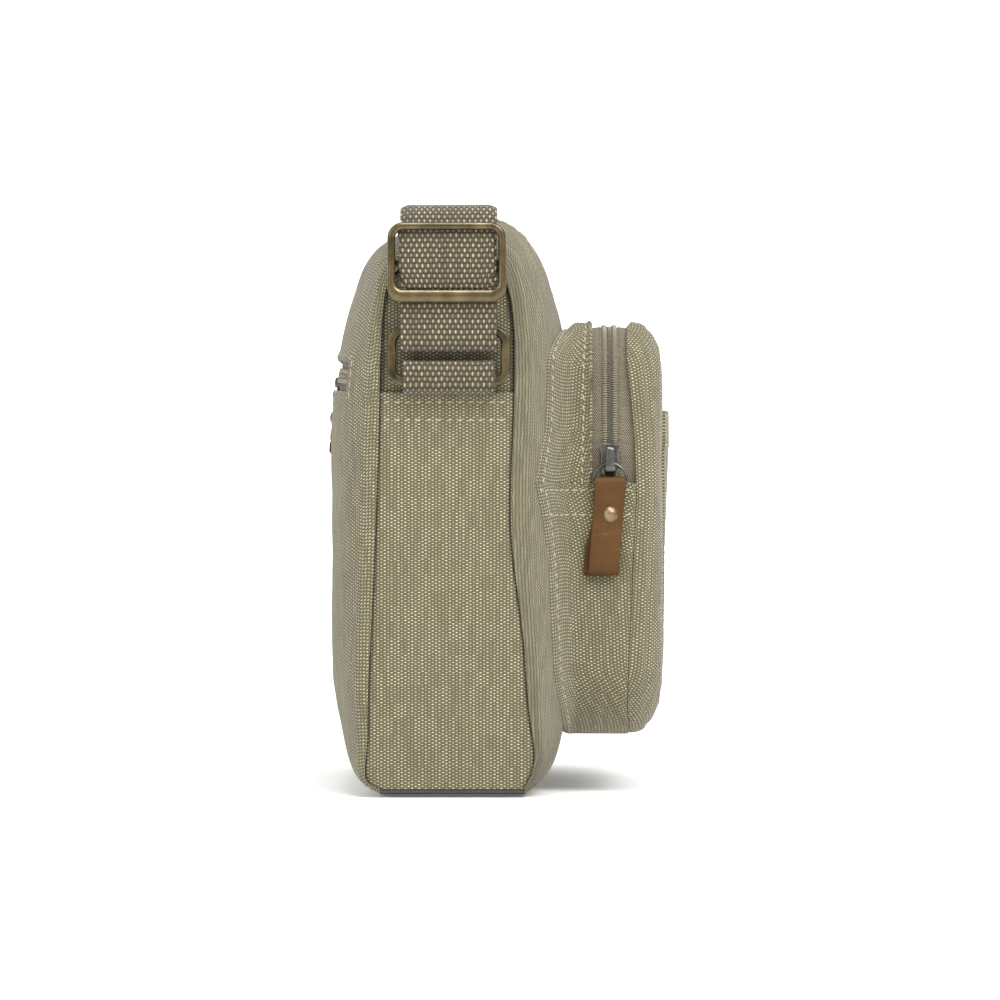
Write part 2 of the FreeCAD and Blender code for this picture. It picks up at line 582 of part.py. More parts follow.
# ---------------------------------------------------------------- zip sliders and pulls
def slider_shape():
    """A slider about the origin: the zip runs along Z, the tape's outer face is x = 0 and -X is outside."""
    half_w, half_l = SLIDER_WIDTH / 2, SLIDER_LENGTH / 2
    top_in = -(CHAIN_HEIGHT + SLIDE_CLEAR)
    plate = box(top_in - PLATE, top_in, -half_w, half_w, -half_l, half_l)
    plate = plate.makeFillet(1.6, [e for e in plate.Edges if e.BoundBox.XLength > 1 and e.CenterOfMass.z < 0])
    sole_out = TAPE + SLIDE_CLEAR + SOLE_CLEAR
    sole = box(sole_out, sole_out + SOLE, -half_w + 1.6, half_w - 1.6, -half_l, half_l)
    neck = box(top_in - 0.1, sole_out + 0.1, -NECK / 2, NECK / 2, half_l - 4.0, half_l - 1.0)
    lips = [box(top_in - 0.1, -SLIDE_CLEAR, s * half_w - (0.7 if s > 0 else 0), s * half_w + (0.7 if s < 0 else 0),
                -half_l + 1.5, half_l) for s in (-1, 1)]
    base = top_in - PLATE
    bridge = box(base - BRIDGE_HEIGHT, base + 0.2, -BRIDGE_WIDTH / 2, BRIDGE_WIDTH / 2, -half_l + 0.8, half_l - 1.4)
    bridge = bridge.makeFillet(2.4, [e for e in bridge.Edges
                                     if e.BoundBox.YLength > 3 and e.CenterOfMass.x < base - 2])
    hole = box(base - BRIDGE_HEIGHT + BRIDGE_WALL, base, -5, 5, -half_l + 2.0, half_l - 3.2)
    hole = hole.makeFillet(1.3, [e for e in hole.Edges if e.BoundBox.YLength > 3 and e.CenterOfMass.x < base - 2])
    slider = plate.fuse([sole, neck, bridge.cut(hole)] + lips)
    return slider.removeSplitter()


def slider_centre():
    """Distance from the tape's outer face to a pull wire that hangs in the bridge."""
    return CHAIN_HEIGHT + SLIDE_CLEAR + PLATE + BRIDGE_HEIGHT - BRIDGE_WALL - WIRE - RING_CLEAR


def pull_ring_shape(r, drop):
    """A D of wire in the YZ plane: the bow's crown is at the origin and the straight bar is below."""
    bow_z = -r
    bar_z = -drop
    crown = Vec(0, 0, 0)
    left, right = Vec(0, -r, bow_z), Vec(0, r, bow_z)
    side_l, side_r = Vec(0, -r, bar_z), Vec(0, r, bar_z)
    bow = Part.Arc(left, crown, right).toShape()
    path = Part.Wire([Part.makeLine(side_l, left), bow, Part.makeLine(right, side_r)])
    profile = Part.Wire(Part.makeCircle(WIRE, side_l, AXIS_Z))
    loop = path.makePipeShell([profile], True, False)
    bar = Part.makeCylinder(WIRE, 2 * r, side_l, AXIS_Y)
    ends = [Part.makeSphere(WIRE, p) for p in (side_l, side_r)]
    return loop.fuse([bar] + ends).removeSplitter()


def leather_shape(length, width, leather, swell):
    """A folded leather tab in the XZ plane: the ring's bar is at the origin, and it hangs down. It is one
    strip, folded over the bar at the top and back up at the bottom, with a rivet through both layers."""
    fold = WIRE + 0.12 + leather / 2
    top = fold
    low = -length + fold + leather / 2
    rivet_z = -0.33 * length
    out = fold + swell
    pinch = leather / 2 + 0.1
    path = [(fold, rivet_z + 4.5), (fold, top), (-fold, top), (-fold, rivet_z + 5.0), (-pinch, rivet_z + 3.4),
            (-pinch, rivet_z - 3.4), (-out, low + 9.0), (-out, low), (out, low), (out, low + 9.0),
            (pinch, rivet_z - 3.4), (pinch, rivet_z + 2.6)]
    radii = [fold - 0.01, fold - 0.01, 0.8, 0.8, 4.0, 4.0, out - 0.2, out - 0.2, 4.0, 4.0]
    tab = strip(path, radii, leather, -width / 2, width / 2)
    hole = Part.makeCylinder(RIVET_POST, 20, Vec(-10, 0, rivet_z), AXIS_X)
    face = pinch + leather / 2
    ball = (RIVET ** 2 + RIVET_DOME ** 2) / (2 * RIVET_DOME)
    cap = Part.makeSphere(ball, Vec(-face - RIVET_DOME + ball, 0, rivet_z))
    cap = cap.common(box(-face - 5, -face, -9, 9, rivet_z - 9, rivet_z + 9))
    back = Part.makeCylinder(RIVET - 0.5, 0.7, Vec(face, 0, rivet_z), AXIS_X)
    post = Part.makeCylinder(RIVET_POST, 2 * face, Vec(-face, 0, rivet_z), AXIS_X)
    return tab.cut(hole), post.fuse([cap, back]).removeSplitter()


def moved(shape, rotations, place):
    out = shape.copy()
    for axis, angle in rotations:
        out.rotate(Vec(0, 0, 0), axis, angle)
    out.translate(Vec(*place))
    return out


def pocket_slider_parts():
    face_x = -(POCKET_HALF - WALL - TAPE_GAP)
    z = POCKET_ZIP_END + 9.6
    out = slider_centre()
    crown = (face_x - out, -POCKET_ZIP_DEPTH, z - 1.6)
    bar = (crown[0], crown[1], crown[2] - PULL_DROP)
    tab, rivet = leather_shape(LONG_PULL, LONG_WIDTH, LEATHER, 0.1)
    return {"pocket_slider": moved(slider_shape(), [], (face_x, -POCKET_ZIP_DEPTH, z)),
            "pocket_pull_ring": moved(pull_ring_shape(LONG_WIDTH / 2 + 0.9, PULL_DROP), [], crown),
            "pocket_pull_leather": moved(tab, [], bar),
            "pocket_pull_rivet": moved(rivet, [], bar)}


def body_slider(name, seat, x):
    """A slider on a zip of the body, which runs along X."""
    depth = -WALL - TAPE_GAP
    return {name: on_zip(moved(slider_shape(), [(AXIS_Y, 90)], (x, 0, depth)), seat)}


def back_slider_parts():
    """On the upright back the bow passes the bridge with its side, and the leather hangs beside the slider."""
    out = body_slider("back_slider", BACK_SEAT, BACK_SLIDER_X)
    side = slider_centre() - WALL - TAPE_GAP
    radius = SHORT_WIDTH / 2 + 0.8
    ring = moved(pull_ring_shape(radius, BACK_DROP), [(AXIS_Z, 90), (AXIS_X, 90)],
                 (BACK_SLIDER_X + radius, -radius, side))
    marker = Part.Vertex(Vec(BACK_SLIDER_X + radius, BACK_DROP - radius, side))
    bar = on_zip(marker, BACK_SEAT).Point
    tab, rivet = leather_shape(SHORT_PULL, SHORT_WIDTH, SHORT_LEATHER, 0.0)
    hang = [(AXIS_Z, -90), (AXIS_X, BACK_PULL_LEAN)]
    out.update({"back_pull_ring": on_zip(ring, BACK_SEAT), "back_pull_leather": moved(tab, hang, bar),
                "back_pull_rivet": moved(rivet, hang, bar)})
    return out


def main_slider_parts():
    """The main zip leans forward on the top edge. Its pull lies along the closed chain."""
    out = body_slider("main_slider", MAIN_SEAT, MAIN_SLIDER_X)
    side = slider_centre() - WALL - TAPE_GAP
    crown = MAIN_SLIDER_X - 1.6
    tab, rivet = leather_shape(SHORT_PULL, SHORT_WIDTH, SHORT_LEATHER, 0.0)
    ring = pull_ring_shape(SHORT_WIDTH / 2 + 0.8, PULL_DROP)
    for name, shape, x in (("main_pull_ring", ring, crown), ("main_pull_leather", tab, crown - PULL_DROP),
                           ("main_pull_rivet", rivet, crown - PULL_DROP)):
        out[name] = on_zip(moved(shape, [(AXIS_Y, 90)], (x, 0, side)), MAIN_SEAT)
    return out


# ---------------------------------------------------------------- build
def build():
    nodes = {}
    nodes.update(canvas_panels())
    nodes.update(base_board())
    nodes.update(linings())
    nodes.update(body_zips())
    nodes.update(front_pocket())
    nodes["ring_tab_left"] = ring_tab(-1)
    nodes["ring_tab_right"] = ring_tab(1)
    nodes["strap_ring_left"] = ring_shape(-HALF - RING_OUT)
    nodes["strap_ring_right"] = ring_shape(HALF + RING_OUT)
    nodes["strap_adjuster"] = adjuster_frame()
    nodes.update(strap_parts())
    nodes.update(pocket_slider_parts())
    nodes.update(back_slider_parts())
    nodes.update(main_slider_parts())
    return nodes


def main():
    os.makedirs("parts", exist_ok=True)
    for name, shape in build().items():
        if not shape.isValid():
            print("invalid", name)
        print(f"{name:24s} solids {len(shape.Solids)}  volume {shape.Volume:10.1f}")
        shape.exportStep(f"parts/{name}.step")


main()
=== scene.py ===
# Canvas messenger bag, seen from its left end. Sizes are in millimetres until a mesh is made.
import math

import bpy
import numpy as np
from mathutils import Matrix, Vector, noise


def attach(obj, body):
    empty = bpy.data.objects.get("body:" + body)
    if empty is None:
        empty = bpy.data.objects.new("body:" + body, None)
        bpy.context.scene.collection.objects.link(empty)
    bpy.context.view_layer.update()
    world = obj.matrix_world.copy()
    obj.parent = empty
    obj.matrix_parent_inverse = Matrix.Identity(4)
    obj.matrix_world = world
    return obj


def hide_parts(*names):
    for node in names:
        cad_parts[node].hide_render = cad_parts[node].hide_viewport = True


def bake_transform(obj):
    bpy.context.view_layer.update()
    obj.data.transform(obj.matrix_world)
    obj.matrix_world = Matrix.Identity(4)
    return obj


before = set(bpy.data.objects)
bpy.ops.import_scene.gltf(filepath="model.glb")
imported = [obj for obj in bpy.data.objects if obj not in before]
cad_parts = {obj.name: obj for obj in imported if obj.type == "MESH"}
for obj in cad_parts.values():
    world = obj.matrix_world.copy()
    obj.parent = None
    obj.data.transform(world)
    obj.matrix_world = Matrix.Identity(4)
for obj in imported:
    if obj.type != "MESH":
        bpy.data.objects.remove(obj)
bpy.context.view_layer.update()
mm = 0.001
bpy.ops.object.select_all(action="DESELECT")
print("frame loaded")


# small tools

def smooth(low, high, value):
    t = min(max((value - low) / (high - low), 0.0), 1.0)
    return t * t * (3 - 2 * t)


def hill(value, middle, width):
    return math.exp(-((value - middle) / width) ** 2)


def ripple(x, y, z, size, seed=0.0):
    # soft creases, the same each run
    return noise.noise(Vector((x / size + seed, y / size, z / size)))


def chordKnots(points):
    # millimetres walked at each point of a line
    return np.concatenate([[0], np.cumsum(np.linalg.norm(np.diff(points, axis=0), axis=1))])


def placeAlong(path, run, at):
    return np.array([np.interp(at, run, column) for column in path.T])


def headingAlong(path, run, at, reach):
    d = placeAlong(path, run, min(at + reach, run[-1])) - placeAlong(path, run, max(at - reach, 0.0))
    return d / max(np.linalg.norm(d), 1e-9)


def headings(path):
    step = np.gradient(path, axis=0)
    return step / np.linalg.norm(step, axis=1)[:, None]


def squaredTurn(share, power):
    # cosine and sine of a turn, pressed from a circle towards a square
    c, d = math.cos(share * 2 * math.pi), math.sin(share * 2 * math.pi)
    return math.copysign(abs(c) ** power, c), math.copysign(abs(d) ** power, d)


def onlyActive(obj):
    bpy.ops.object.select_all(action="DESELECT")
    obj.select_set(True)
    bpy.context.view_layer.objects.active = obj


def applyModifier(obj, kind, **settings):
    onlyActive(obj)
    bpy.ops.object.modifier_add(type=kind)
    modifier = obj.modifiers[-1]
    for key, value in settings.items():
        setattr(modifier, key, value)
    bpy.ops.object.modifier_apply(modifier=modifier.name)


def softenEdges(obj, width, angle):
    applyModifier(obj, "BEVEL", width=width * mm, segments=2, limit_method="ANGLE",
                  angle_limit=math.radians(angle))


def finishPiece(obj, body, material, replaced=()):
    onlyActive(obj)
    bpy.ops.object.shade_smooth_by_angle(angle=math.radians(50))
    obj.data.materials.clear()
    obj.data.materials.append(material)
    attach(obj, body)
    if replaced:
        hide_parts(*replaced)
    return obj


def addSheet(name, columns, rows, pointAt, facing, thick=0.0, uvOf=None, closed=False, drop=None,
             offset=-1.0):
    # a grid laid over the surface pointAt(u, v), with its UV map in metres along the cloth
    bpy.ops.mesh.primitive_grid_add(x_subdivisions=columns, y_subdivisions=rows, size=1)
    obj = bpy.context.object
    obj.name = obj.data.name = name
    mesh = obj.data
    flat = np.zeros(len(mesh.vertices) * 3)
    mesh.vertices.foreach_get("co", flat)
    flat = flat.reshape(-1, 3)
    us, ui = np.unique(np.round(flat[:, 0] + 0.5, 5), return_inverse=True)
    vs, vi = np.unique(np.round(flat[:, 1] + 0.5, 5), return_inverse=True)
    grid = np.array([[pointAt(u, v) for v in vs] for u in us], float)
    along = np.zeros(grid.shape[:2])
    across = np.zeros(grid.shape[:2])
    along[1:] = np.cumsum(np.linalg.norm(np.diff(grid, axis=0), axis=2), axis=0)
    across[:, 1:] = np.cumsum(np.linalg.norm(np.diff(grid, axis=1), axis=2), axis=1)
    along -= along[len(us) // 2][None, :]
    if uvOf:
        uv = np.array([uvOf(grid[a, b], us[a], vs[b]) for a, b in zip(ui, vi)])
    else:
        uv = np.stack([along[ui, vi], across[ui, vi]], axis=1)
    places = grid[ui, vi]
    mesh.vertices.foreach_set("co", (places * mm).ravel())
    loops = np.zeros(len(mesh.loops), np.int32)
    mesh.loops.foreach_get("vertex_index", loops)
    mesh.uv_layers.active.data.foreach_set("uv", (uv[loops] * mm).ravel())
    mesh.update()
    onlyActive(obj)
    bpy.ops.object.mode_set(mode="EDIT")
    bpy.ops.mesh.select_mode(type="FACE")
    if drop:
        bpy.ops.mesh.select_all(action="DESELECT")
        bpy.ops.object.mode_set(mode="OBJECT")
        for face in mesh.polygons:
            a, b = ui[face.vertices[0]], vi[face.vertices[0]]
            c, d = ui[face.vertices[2]], vi[face.vertices[2]]
            face.select = bool(drop((us[a] + us[c]) / 2, (vs[b] + vs[d]) / 2))
        bpy.ops.object.mode_set(mode="EDIT")
        bpy.ops.mesh.delete(type="FACE")
    bpy.ops.mesh.select_all(action="SELECT")
    if closed:
        bpy.ops.mesh.remove_doubles(threshold=0.00002)
    bpy.ops.object.mode_set(mode="OBJECT")
    nearest = min(mesh.polygons, key=lambda f: (f.center - Vector(facing[0]) * mm).length)
    if nearest.normal.dot(Vector(facing[1])) < 0:
        bpy.ops.object.mode_set(mode="EDIT")
        bpy.ops.mesh.select_all(action="SELECT")
        bpy.ops.mesh.flip_normals()
        bpy.ops.object.mode_set(mode="OBJECT")
    if thick:
        applyModifier(obj, "SOLIDIFY", thickness=thick * mm, offset=offset)
    return obj


def makeStamp(segments, rings):
    bpy.ops.mesh.primitive_uv_sphere_add(segments=segments, ring_count=rings, radius=0.5)
    obj = bpy.context.object
    verts = np.array([v.co[:] for v in obj.data.vertices])
    faces = [tuple(f.vertices) for f in obj.data.polygons]
    bpy.data.objects.remove(obj, do_unlink=True)
    return verts, faces


grain = makeStamp(8, 5)


def scatter(name, places, size, body, material, replaced=()):
    # copies of one small rounded piece; each place is (middle, along, up)
    verts, faces = grain
    points, polygons = [], []
    for middle, along, up in places:
        along = np.array(along, float)
        along /= np.linalg.norm(along)
        side = np.cross(up, along)
        side /= np.linalg.norm(side)
        base = len(points)
        local = verts * (size[1], size[2], size[0]) @ np.array([side, np.cross(along, side), along])
        points.extend(((local + np.array(middle)) * mm).tolist())
        polygons.extend(tuple(i + base for i in f) for f in faces)
    mesh = bpy.data.meshes.new(name)
    mesh.from_pydata(points, [], polygons)
    obj = bpy.data.objects.new(name, mesh)
    bpy.context.collection.objects.link(obj)
    return finishPiece(obj, body, material, replaced)


stitch = {"size": (2.6, 0.6, 0.5), "pitch": 4.2, "slant": 0.22}


def stitchRow(points, normals, pitch=stitch["pitch"]):
    # even stitches along a line of points, each one turned a little across it
    points = np.array(points, float)
    normals = np.broadcast_to(np.array(normals, float), points.shape)
    run = chordKnots(points)
    places = []
    for at in np.arange(pitch / 2, run[-1], pitch):
        i = min(max(int(np.searchsorted(run, at)), 1), len(points) - 1)
        ahead = points[i] - points[i - 1]
        middle = points[i - 1] + ahead * (at - run[i - 1]) / max(run[i] - run[i - 1], 1e-6)
        ahead = ahead / np.linalg.norm(ahead)
        places.append((middle, ahead + np.cross(normals[i], ahead) * stitch["slant"], normals[i]))
    return places


def sewOn(name, places):
    scatter(name, places, stitch["size"], "bag", thread)


def roundedPath(points, radii, step=1.2):
    # straight runs joined by arcs, as even points
    points = np.array(points, float)
    out = [points[0]]
    for i, radius in enumerate(radii, 1):
        before, after = points[i] - points[i - 1], points[i + 1] - points[i]
        before, after = before / np.linalg.norm(before), after / np.linalg.norm(after)
        turn = math.acos(max(-1.0, min(1.0, float(before @ after))))
        start = points[i] - before * radius * math.tan(turn / 2)
        inward = after - before * float(before @ after)
        inward /= max(np.linalg.norm(inward), 1e-9)
        for a in np.linspace(0, turn, 13):
            out.append(start + before * radius * math.sin(a) + inward * radius * (1 - math.cos(a)))
    out = np.array(out + [points[-1]])
    out = out[np.concatenate([[True], np.diff(chordKnots(out)) > 1e-4])]
    run = chordKnots(out)
    even = np.linspace(0, run[-1], int(run[-1] / step) + 2)
    return np.stack([np.interp(even, run, column) for column in out.T], axis=1)


# materials

def feed(socket, value):
    # a number, a colour or another node's output
    if isinstance(value, tuple):
        socket.default_value = (*value, 1.0)
    elif isinstance(value, (int, float)):
        socket.default_value = value
    else:
        socket.id_data.links.new(value, socket)


def newNode(kind, *values):
    # in the same tree as the values it works on
    return next(value.id_data for value in values if hasattr(value, "id_data")).nodes.new(kind)


def newGroup(name, inputs, outputs):
    # an input with no value is a place, and the others are numbers
    group = bpy.data.node_groups.new(name, "ShaderNodeTree")
    for label, value in inputs.items():
        kind = "NodeSocketVector" if value is None else "NodeSocketFloat"
        socket = group.interface.new_socket(label, in_out="INPUT", socket_type=kind)
        if value is not None:
            socket.default_value = value
    for label in outputs:
        group.interface.new_socket(label, in_out="OUTPUT", socket_type="NodeSocketFloat")
    return group, group.nodes.new("NodeGroupInput"), group.nodes.new("NodeGroupOutput")


def math2(operation, a, b=0.0):
    node = newNode("ShaderNodeMath", a, b)
    node.operation = operation
    feed(node.inputs[0], a)
    feed(node.inputs[1], b)
    return node.outputs[0]


def times(a, b):
    return math2("MULTIPLY", a, b)


def plus(a, b):
    return math2("ADD", a, b)


def minus(a, b):
    return math2("SUBTRACT", a, b)


def noiseNode(vector, scale, detail=2.0, rough=0.5):
    node = newNode("ShaderNodeTexNoise", vector)
    for label, value in (("Vector", vector), ("Scale", scale), ("Detail", detail), ("Roughness", rough)):
        feed(node.inputs[label], value)
    return node.outputs["Fac"]


def mixColour(factor, a, b):
    node = newNode("ShaderNodeMix", factor)
    node.data_type = "RGBA"
    for value, socket in ((factor, 0), (a, 6), (b, 7)):
        feed(node.inputs[socket], value)
    return node.outputs[2]


def makeWeave():
    # plain weave: raised floats in columns, each column half a step from the next
    tree, source, target = newGroup("plainWeave", {"Cloth": None, "Column": 1.37, "Row": 1.4, "Fuzz": 0.12},
                                    ("Height", "Float", "Yarn"))
    cloth = source.outputs["Cloth"]
    split = tree.nodes.new("ShaderNodeSeparateXYZ")
    feed(split.inputs[0], cloth)
    shift = times(minus(noiseNode(cloth, 260.0), 0.5), source.outputs["Fuzz"])
    u, v = (plus(math2("DIVIDE", times(split.outputs[k], 1000.0), source.outputs[label]),
                 times(shift, sway)) for k, label, sway in ((0, "Column", 3.0), (1, "Row", 2.0)))
    column = math2("FLOOR", u)
    v = plus(v, times(math2("FLOORED_MODULO", column, 2.0), 0.5))
    cu, cv = (minus(math2("FRACT", a), 0.5) for a in (u, v))
    across = math2("COSINE", times(cu, math.pi))
    along = math2("COSINE", times(cv, 2 * math.pi))
    over = times(across, math2("MAXIMUM", along, 0.0))
    under = times(math2("MAXIMUM", times(along, -1.0), 0.0),
                  minus(1.0, times(math2("ABSOLUTE", cu), 0.5)))
    feed(target.inputs["Height"], math2("MAXIMUM", over, times(under, 0.5)))
    feed(target.inputs["Float"], over)
    spot = tree.nodes.new("ShaderNodeCombineXYZ")
    feed(spot.inputs[0], column)
    feed(spot.inputs[1], math2("FLOOR", times(v, 0.22)))
    rand = tree.nodes.new("ShaderNodeTexWhiteNoise")
    rand.noise_dimensions = "2D"
    feed(rand.inputs["Vector"], spot.outputs[0])
    feed(target.inputs["Yarn"], rand.outputs["Value"])
    return tree


def makeWear():
    # slow stains and fading over a whole piece
    tree, source, target = newGroup("softVariation", {"Place": None, "Size": 14.0}, ("Blotch", "Fine"))
    for label, factor, detail in (("Blotch", 1.0, 4.0), ("Fine", 22.0, 3.0)):
        size = times(source.outputs["Size"], factor)
        feed(target.inputs[label], noiseNode(source.outputs["Place"], size, detail))
    return tree


def makeEdgeWear():
    # rubbed corners: where the rounded normal leaves the true one
    tree, source, target = newGroup("edgeWear", {"Radius": 0.0006}, ("Edge",))
    bevel = tree.nodes.new("ShaderNodeBevel")
    bevel.samples = 4
    feed(bevel.inputs["Radius"], source.outputs["Radius"])
    true = tree.nodes.new("ShaderNodeNewGeometry")
    dot = tree.nodes.new("ShaderNodeVectorMath")
    dot.operation = "DOT_PRODUCT"
    feed(dot.inputs[0], bevel.outputs[0])
    feed(dot.inputs[1], true.outputs["Normal"])
    away = minus(1.0, dot.outputs["Value"])
    feed(target.inputs["Edge"], math2("MINIMUM", times(away, 4.0), 1.0))
    return tree


weaveGroup = makeWeave()
wearGroup = makeWear()
edgeGroup = makeEdgeWear()


def newMaterial(name, roughness, metallic=0.0, **constants):
    material = bpy.data.materials.new(name)
    material.use_nodes = True
    tree = material.node_tree
    shader = tree.nodes["Principled BSDF"]
    shader.inputs["Roughness"].default_value = roughness
    shader.inputs["Metallic"].default_value = metallic
    for key, value in constants.items():
        shader.inputs[key.replace("_", " ")].default_value = value
    return material, tree, shader


def useGroup(tree, group, **links):
    node = tree.nodes.new("ShaderNodeGroup")
    node.node_tree = group
    for key, value in links.items():
        feed(node.inputs[key], value)
    return node.outputs


def stainsOn(tree, size):
    place = tree.nodes.new("ShaderNodeTexCoord").outputs["Object"]
    return place, useGroup(tree, wearGroup, Place=place, Size=size)


def turnedPlace(vector, rotation, scale=(1.0, 1.0, 1.0)):
    node = newNode("ShaderNodeMapping", vector)
    node.inputs["Rotation"].default_value = rotation
    node.inputs["Scale"].default_value = scale
    feed(node.inputs["Vector"], vector)
    return node.outputs[0]


def addBump(shader, height, distance):
    bump = newNode("ShaderNodeBump", height)
    bump.inputs["Distance"].default_value = distance * mm
    feed(bump.inputs["Height"], height)
    feed(shader.inputs["Normal"], bump.outputs[0])


def woven(name, column, row, gap, body, crest, depth, swap=False):
    # cloth with painted shade in the dark gaps, yarn tone and painted highlights on the pale crests; swap
    # turns the weave a quarter
    material, tree, shader = newMaterial(name, 0.9, Specular_IOR_Level=0.2, Sheen_Weight=0.15,
                                         Sheen_Roughness=0.6)
    uv = tree.nodes.new("ShaderNodeUVMap")
    uv.uv_map = "UVMap"
    cloth = turnedPlace(uv.outputs[0], (0, 0, math.pi / 2)) if swap else uv.outputs[0]
    weave = useGroup(tree, weaveGroup, Cloth=cloth, Column=column, Row=row)
    _, wear = stainsOn(tree, 16.0)
    # dark gap colour: painted shade between the yarns, rising to the body colour on the raised yarn
    low = mixColour(weave["Height"], gap, body)
    # pale crest colour: painted highlight on each float, varied a little by yarn tone
    lit = times(math2("POWER", weave["Float"], 1.6),
                plus(times(weave["Yarn"], 0.7), 0.3))
    # slow random stains pull the colour a little towards the gap colour
    shade = plus(times(wear["Blotch"], 0.22), times(wear["Fine"], 0.16))
    dull = mixColour(times(shade, 0.8), mixColour(lit, low, crest), gap)
    feed(shader.inputs["Base Color"], dull)
    addBump(shader, weave["Height"], depth)
    return material


def metal(name, dark, light, roughness, rubbed):
    material, tree, shader = newMaterial(name, roughness, 1.0, Coat_Weight=0.5, Coat_Roughness=0.1)
    _, wear = stainsOn(tree, 110.0)
    patches = minus(times(wear["Blotch"], 2.6), 0.8)
    patches = math2("MINIMUM", math2("MAXIMUM", patches, 0.0), 1.0)
    edge = times(useGroup(tree, edgeGroup)[0], 0.8)
    feed(shader.inputs["Base Color"], mixColour(edge, mixColour(patches, dark, light), rubbed))
    rough = plus(times(wear["Fine"], 0.3), roughness - 0.12)
    feed(shader.inputs["Roughness"], rough)
    addBump(shader, wear["Fine"], 0.06)
    return material


def hide(name, dark, light, scratched):
    # waxed leather with pores, scratches and rubbed lighter patches
    material, tree, shader = newMaterial(name, 0.5, Specular_IOR_Level=0.16)
    place, wear = stainsOn(tree, 60.0)
    pores = noiseNode(place, 1500.0, 2.0, 0.55)
    tone = plus(times(wear["Blotch"], 0.75), times(wear["Fine"], 0.35))
    scratch = noiseNode(turnedPlace(place, (0.5, 0.0, 0.0), (1.0, 0.35, 1.0)), 420.0, 6.0, 0.8)
    scratch = times(math2("MAXIMUM", minus(scratch, 0.62), 0.0), 3.0)
    hue = mixColour(tone, dark, light)
    feed(shader.inputs["Base Color"], mixColour(scratch, hue, scratched))
    feed(shader.inputs["Roughness"], plus(times(pores, 0.25), 0.42))
    addBump(shader, plus(times(pores, 0.5), wear["Fine"]), 0.12)
    return material


def plainStuff(name, dark, light, roughness, size, depth):
    material, tree, shader = newMaterial(name, roughness)
    _, wear = stainsOn(tree, size)
    feed(shader.inputs["Base Color"], mixColour(wear["Fine"], dark, light))
    addBump(shader, wear["Fine"], depth)
    return material


plain = (1.37, 1.4)  # column and row of the canvas weave
# each woven cloth gets gap, body and crest colours: the dark gap is painted shade, the pale crest a painted
# highlight
olive = ((0.05, 0.043, 0.018), (0.235, 0.206, 0.118), (0.72, 0.66, 0.47))
canvas = woven("oliveCanvas", *plain, *olive, 0.22)
canvasAcross = woven("oliveCanvasAcross", *plain, *olive, 0.22, swap=True)
# a much darker copy of the olive canvas: painted shade for the base panel seen in shadow under the bag
baseShadeCanvas = woven("baseCanvasInShade", *plain, (0.012, 0.011, 0.006), (0.055, 0.05, 0.032), (0.16, 0.15, 0.11), 0.22)
webbing = woven("strapWebbing", 1.125, 4.2, (0.026, 0.020, 0.009), (0.145, 0.118, 0.068),
                (0.56, 0.49, 0.35), 0.5)
zipCloth = woven("zipTape", 0.62, 0.9, (0.05, 0.041, 0.026), (0.25, 0.213, 0.145), (0.55, 0.49, 0.36), 0.12)
elastic = woven("elasticBand", 0.8, 3.2, (0.012, 0.012, 0.012), (0.04, 0.04, 0.038), (0.09, 0.09, 0.085),
                0.15)
grosgrain = woven("seamBinding", 0.5, 1.8, (0.006, 0.006, 0.009), (0.018, 0.018, 0.026), (0.05, 0.05, 0.06),
                  0.1)
thread = plainStuff("creamThread", (0.26, 0.23, 0.15), (0.50, 0.46, 0.33), 0.8, 80.0, 0.1)
nylon = plainStuff("nylonCoil", (0.15, 0.13, 0.09), (0.34, 0.30, 0.21), 0.5, 60.0, 0.05)
# near-black sheet under each zip's coil: painted shade between the rows of teeth
shadowCloth = plainStuff("zipShadowSheet", (0.02, 0.022, 0.024), (0.05, 0.052, 0.052), 0.8, 60.0, 0.05)
board = plainStuff("stiffener", (0.05, 0.05, 0.045), (0.09, 0.09, 0.08), 0.7, 20.0, 0.1)
leather = hide("waxedLeather", (0.028, 0.011, 0.0025), (0.112, 0.052, 0.013), (0.34, 0.19, 0.07))
brass = metal("antiqueBrass", (0.026, 0.020, 0.009), (0.15, 0.112, 0.048), 0.33, (0.42, 0.34, 0.18))
bronze = metal("rivetBronze", (0.12, 0.08, 0.035), (0.30, 0.21, 0.11), 0.4, (0.45, 0.34, 0.19))
gunmetal = metal("gunmetal", (0.03, 0.029, 0.026), (0.15, 0.145, 0.13), 0.3, (0.5, 0.49, 0.46))
print("materials made")


# the canvas body

bagBody = {"half": 130.0, "height": 233.0, "back": 50.8, "front": 44.8, "crease": 0.75, "cloth": 1.5}
half, tall, deep, slim = (bagBody[key] for key in ("half", "height", "back", "front"))
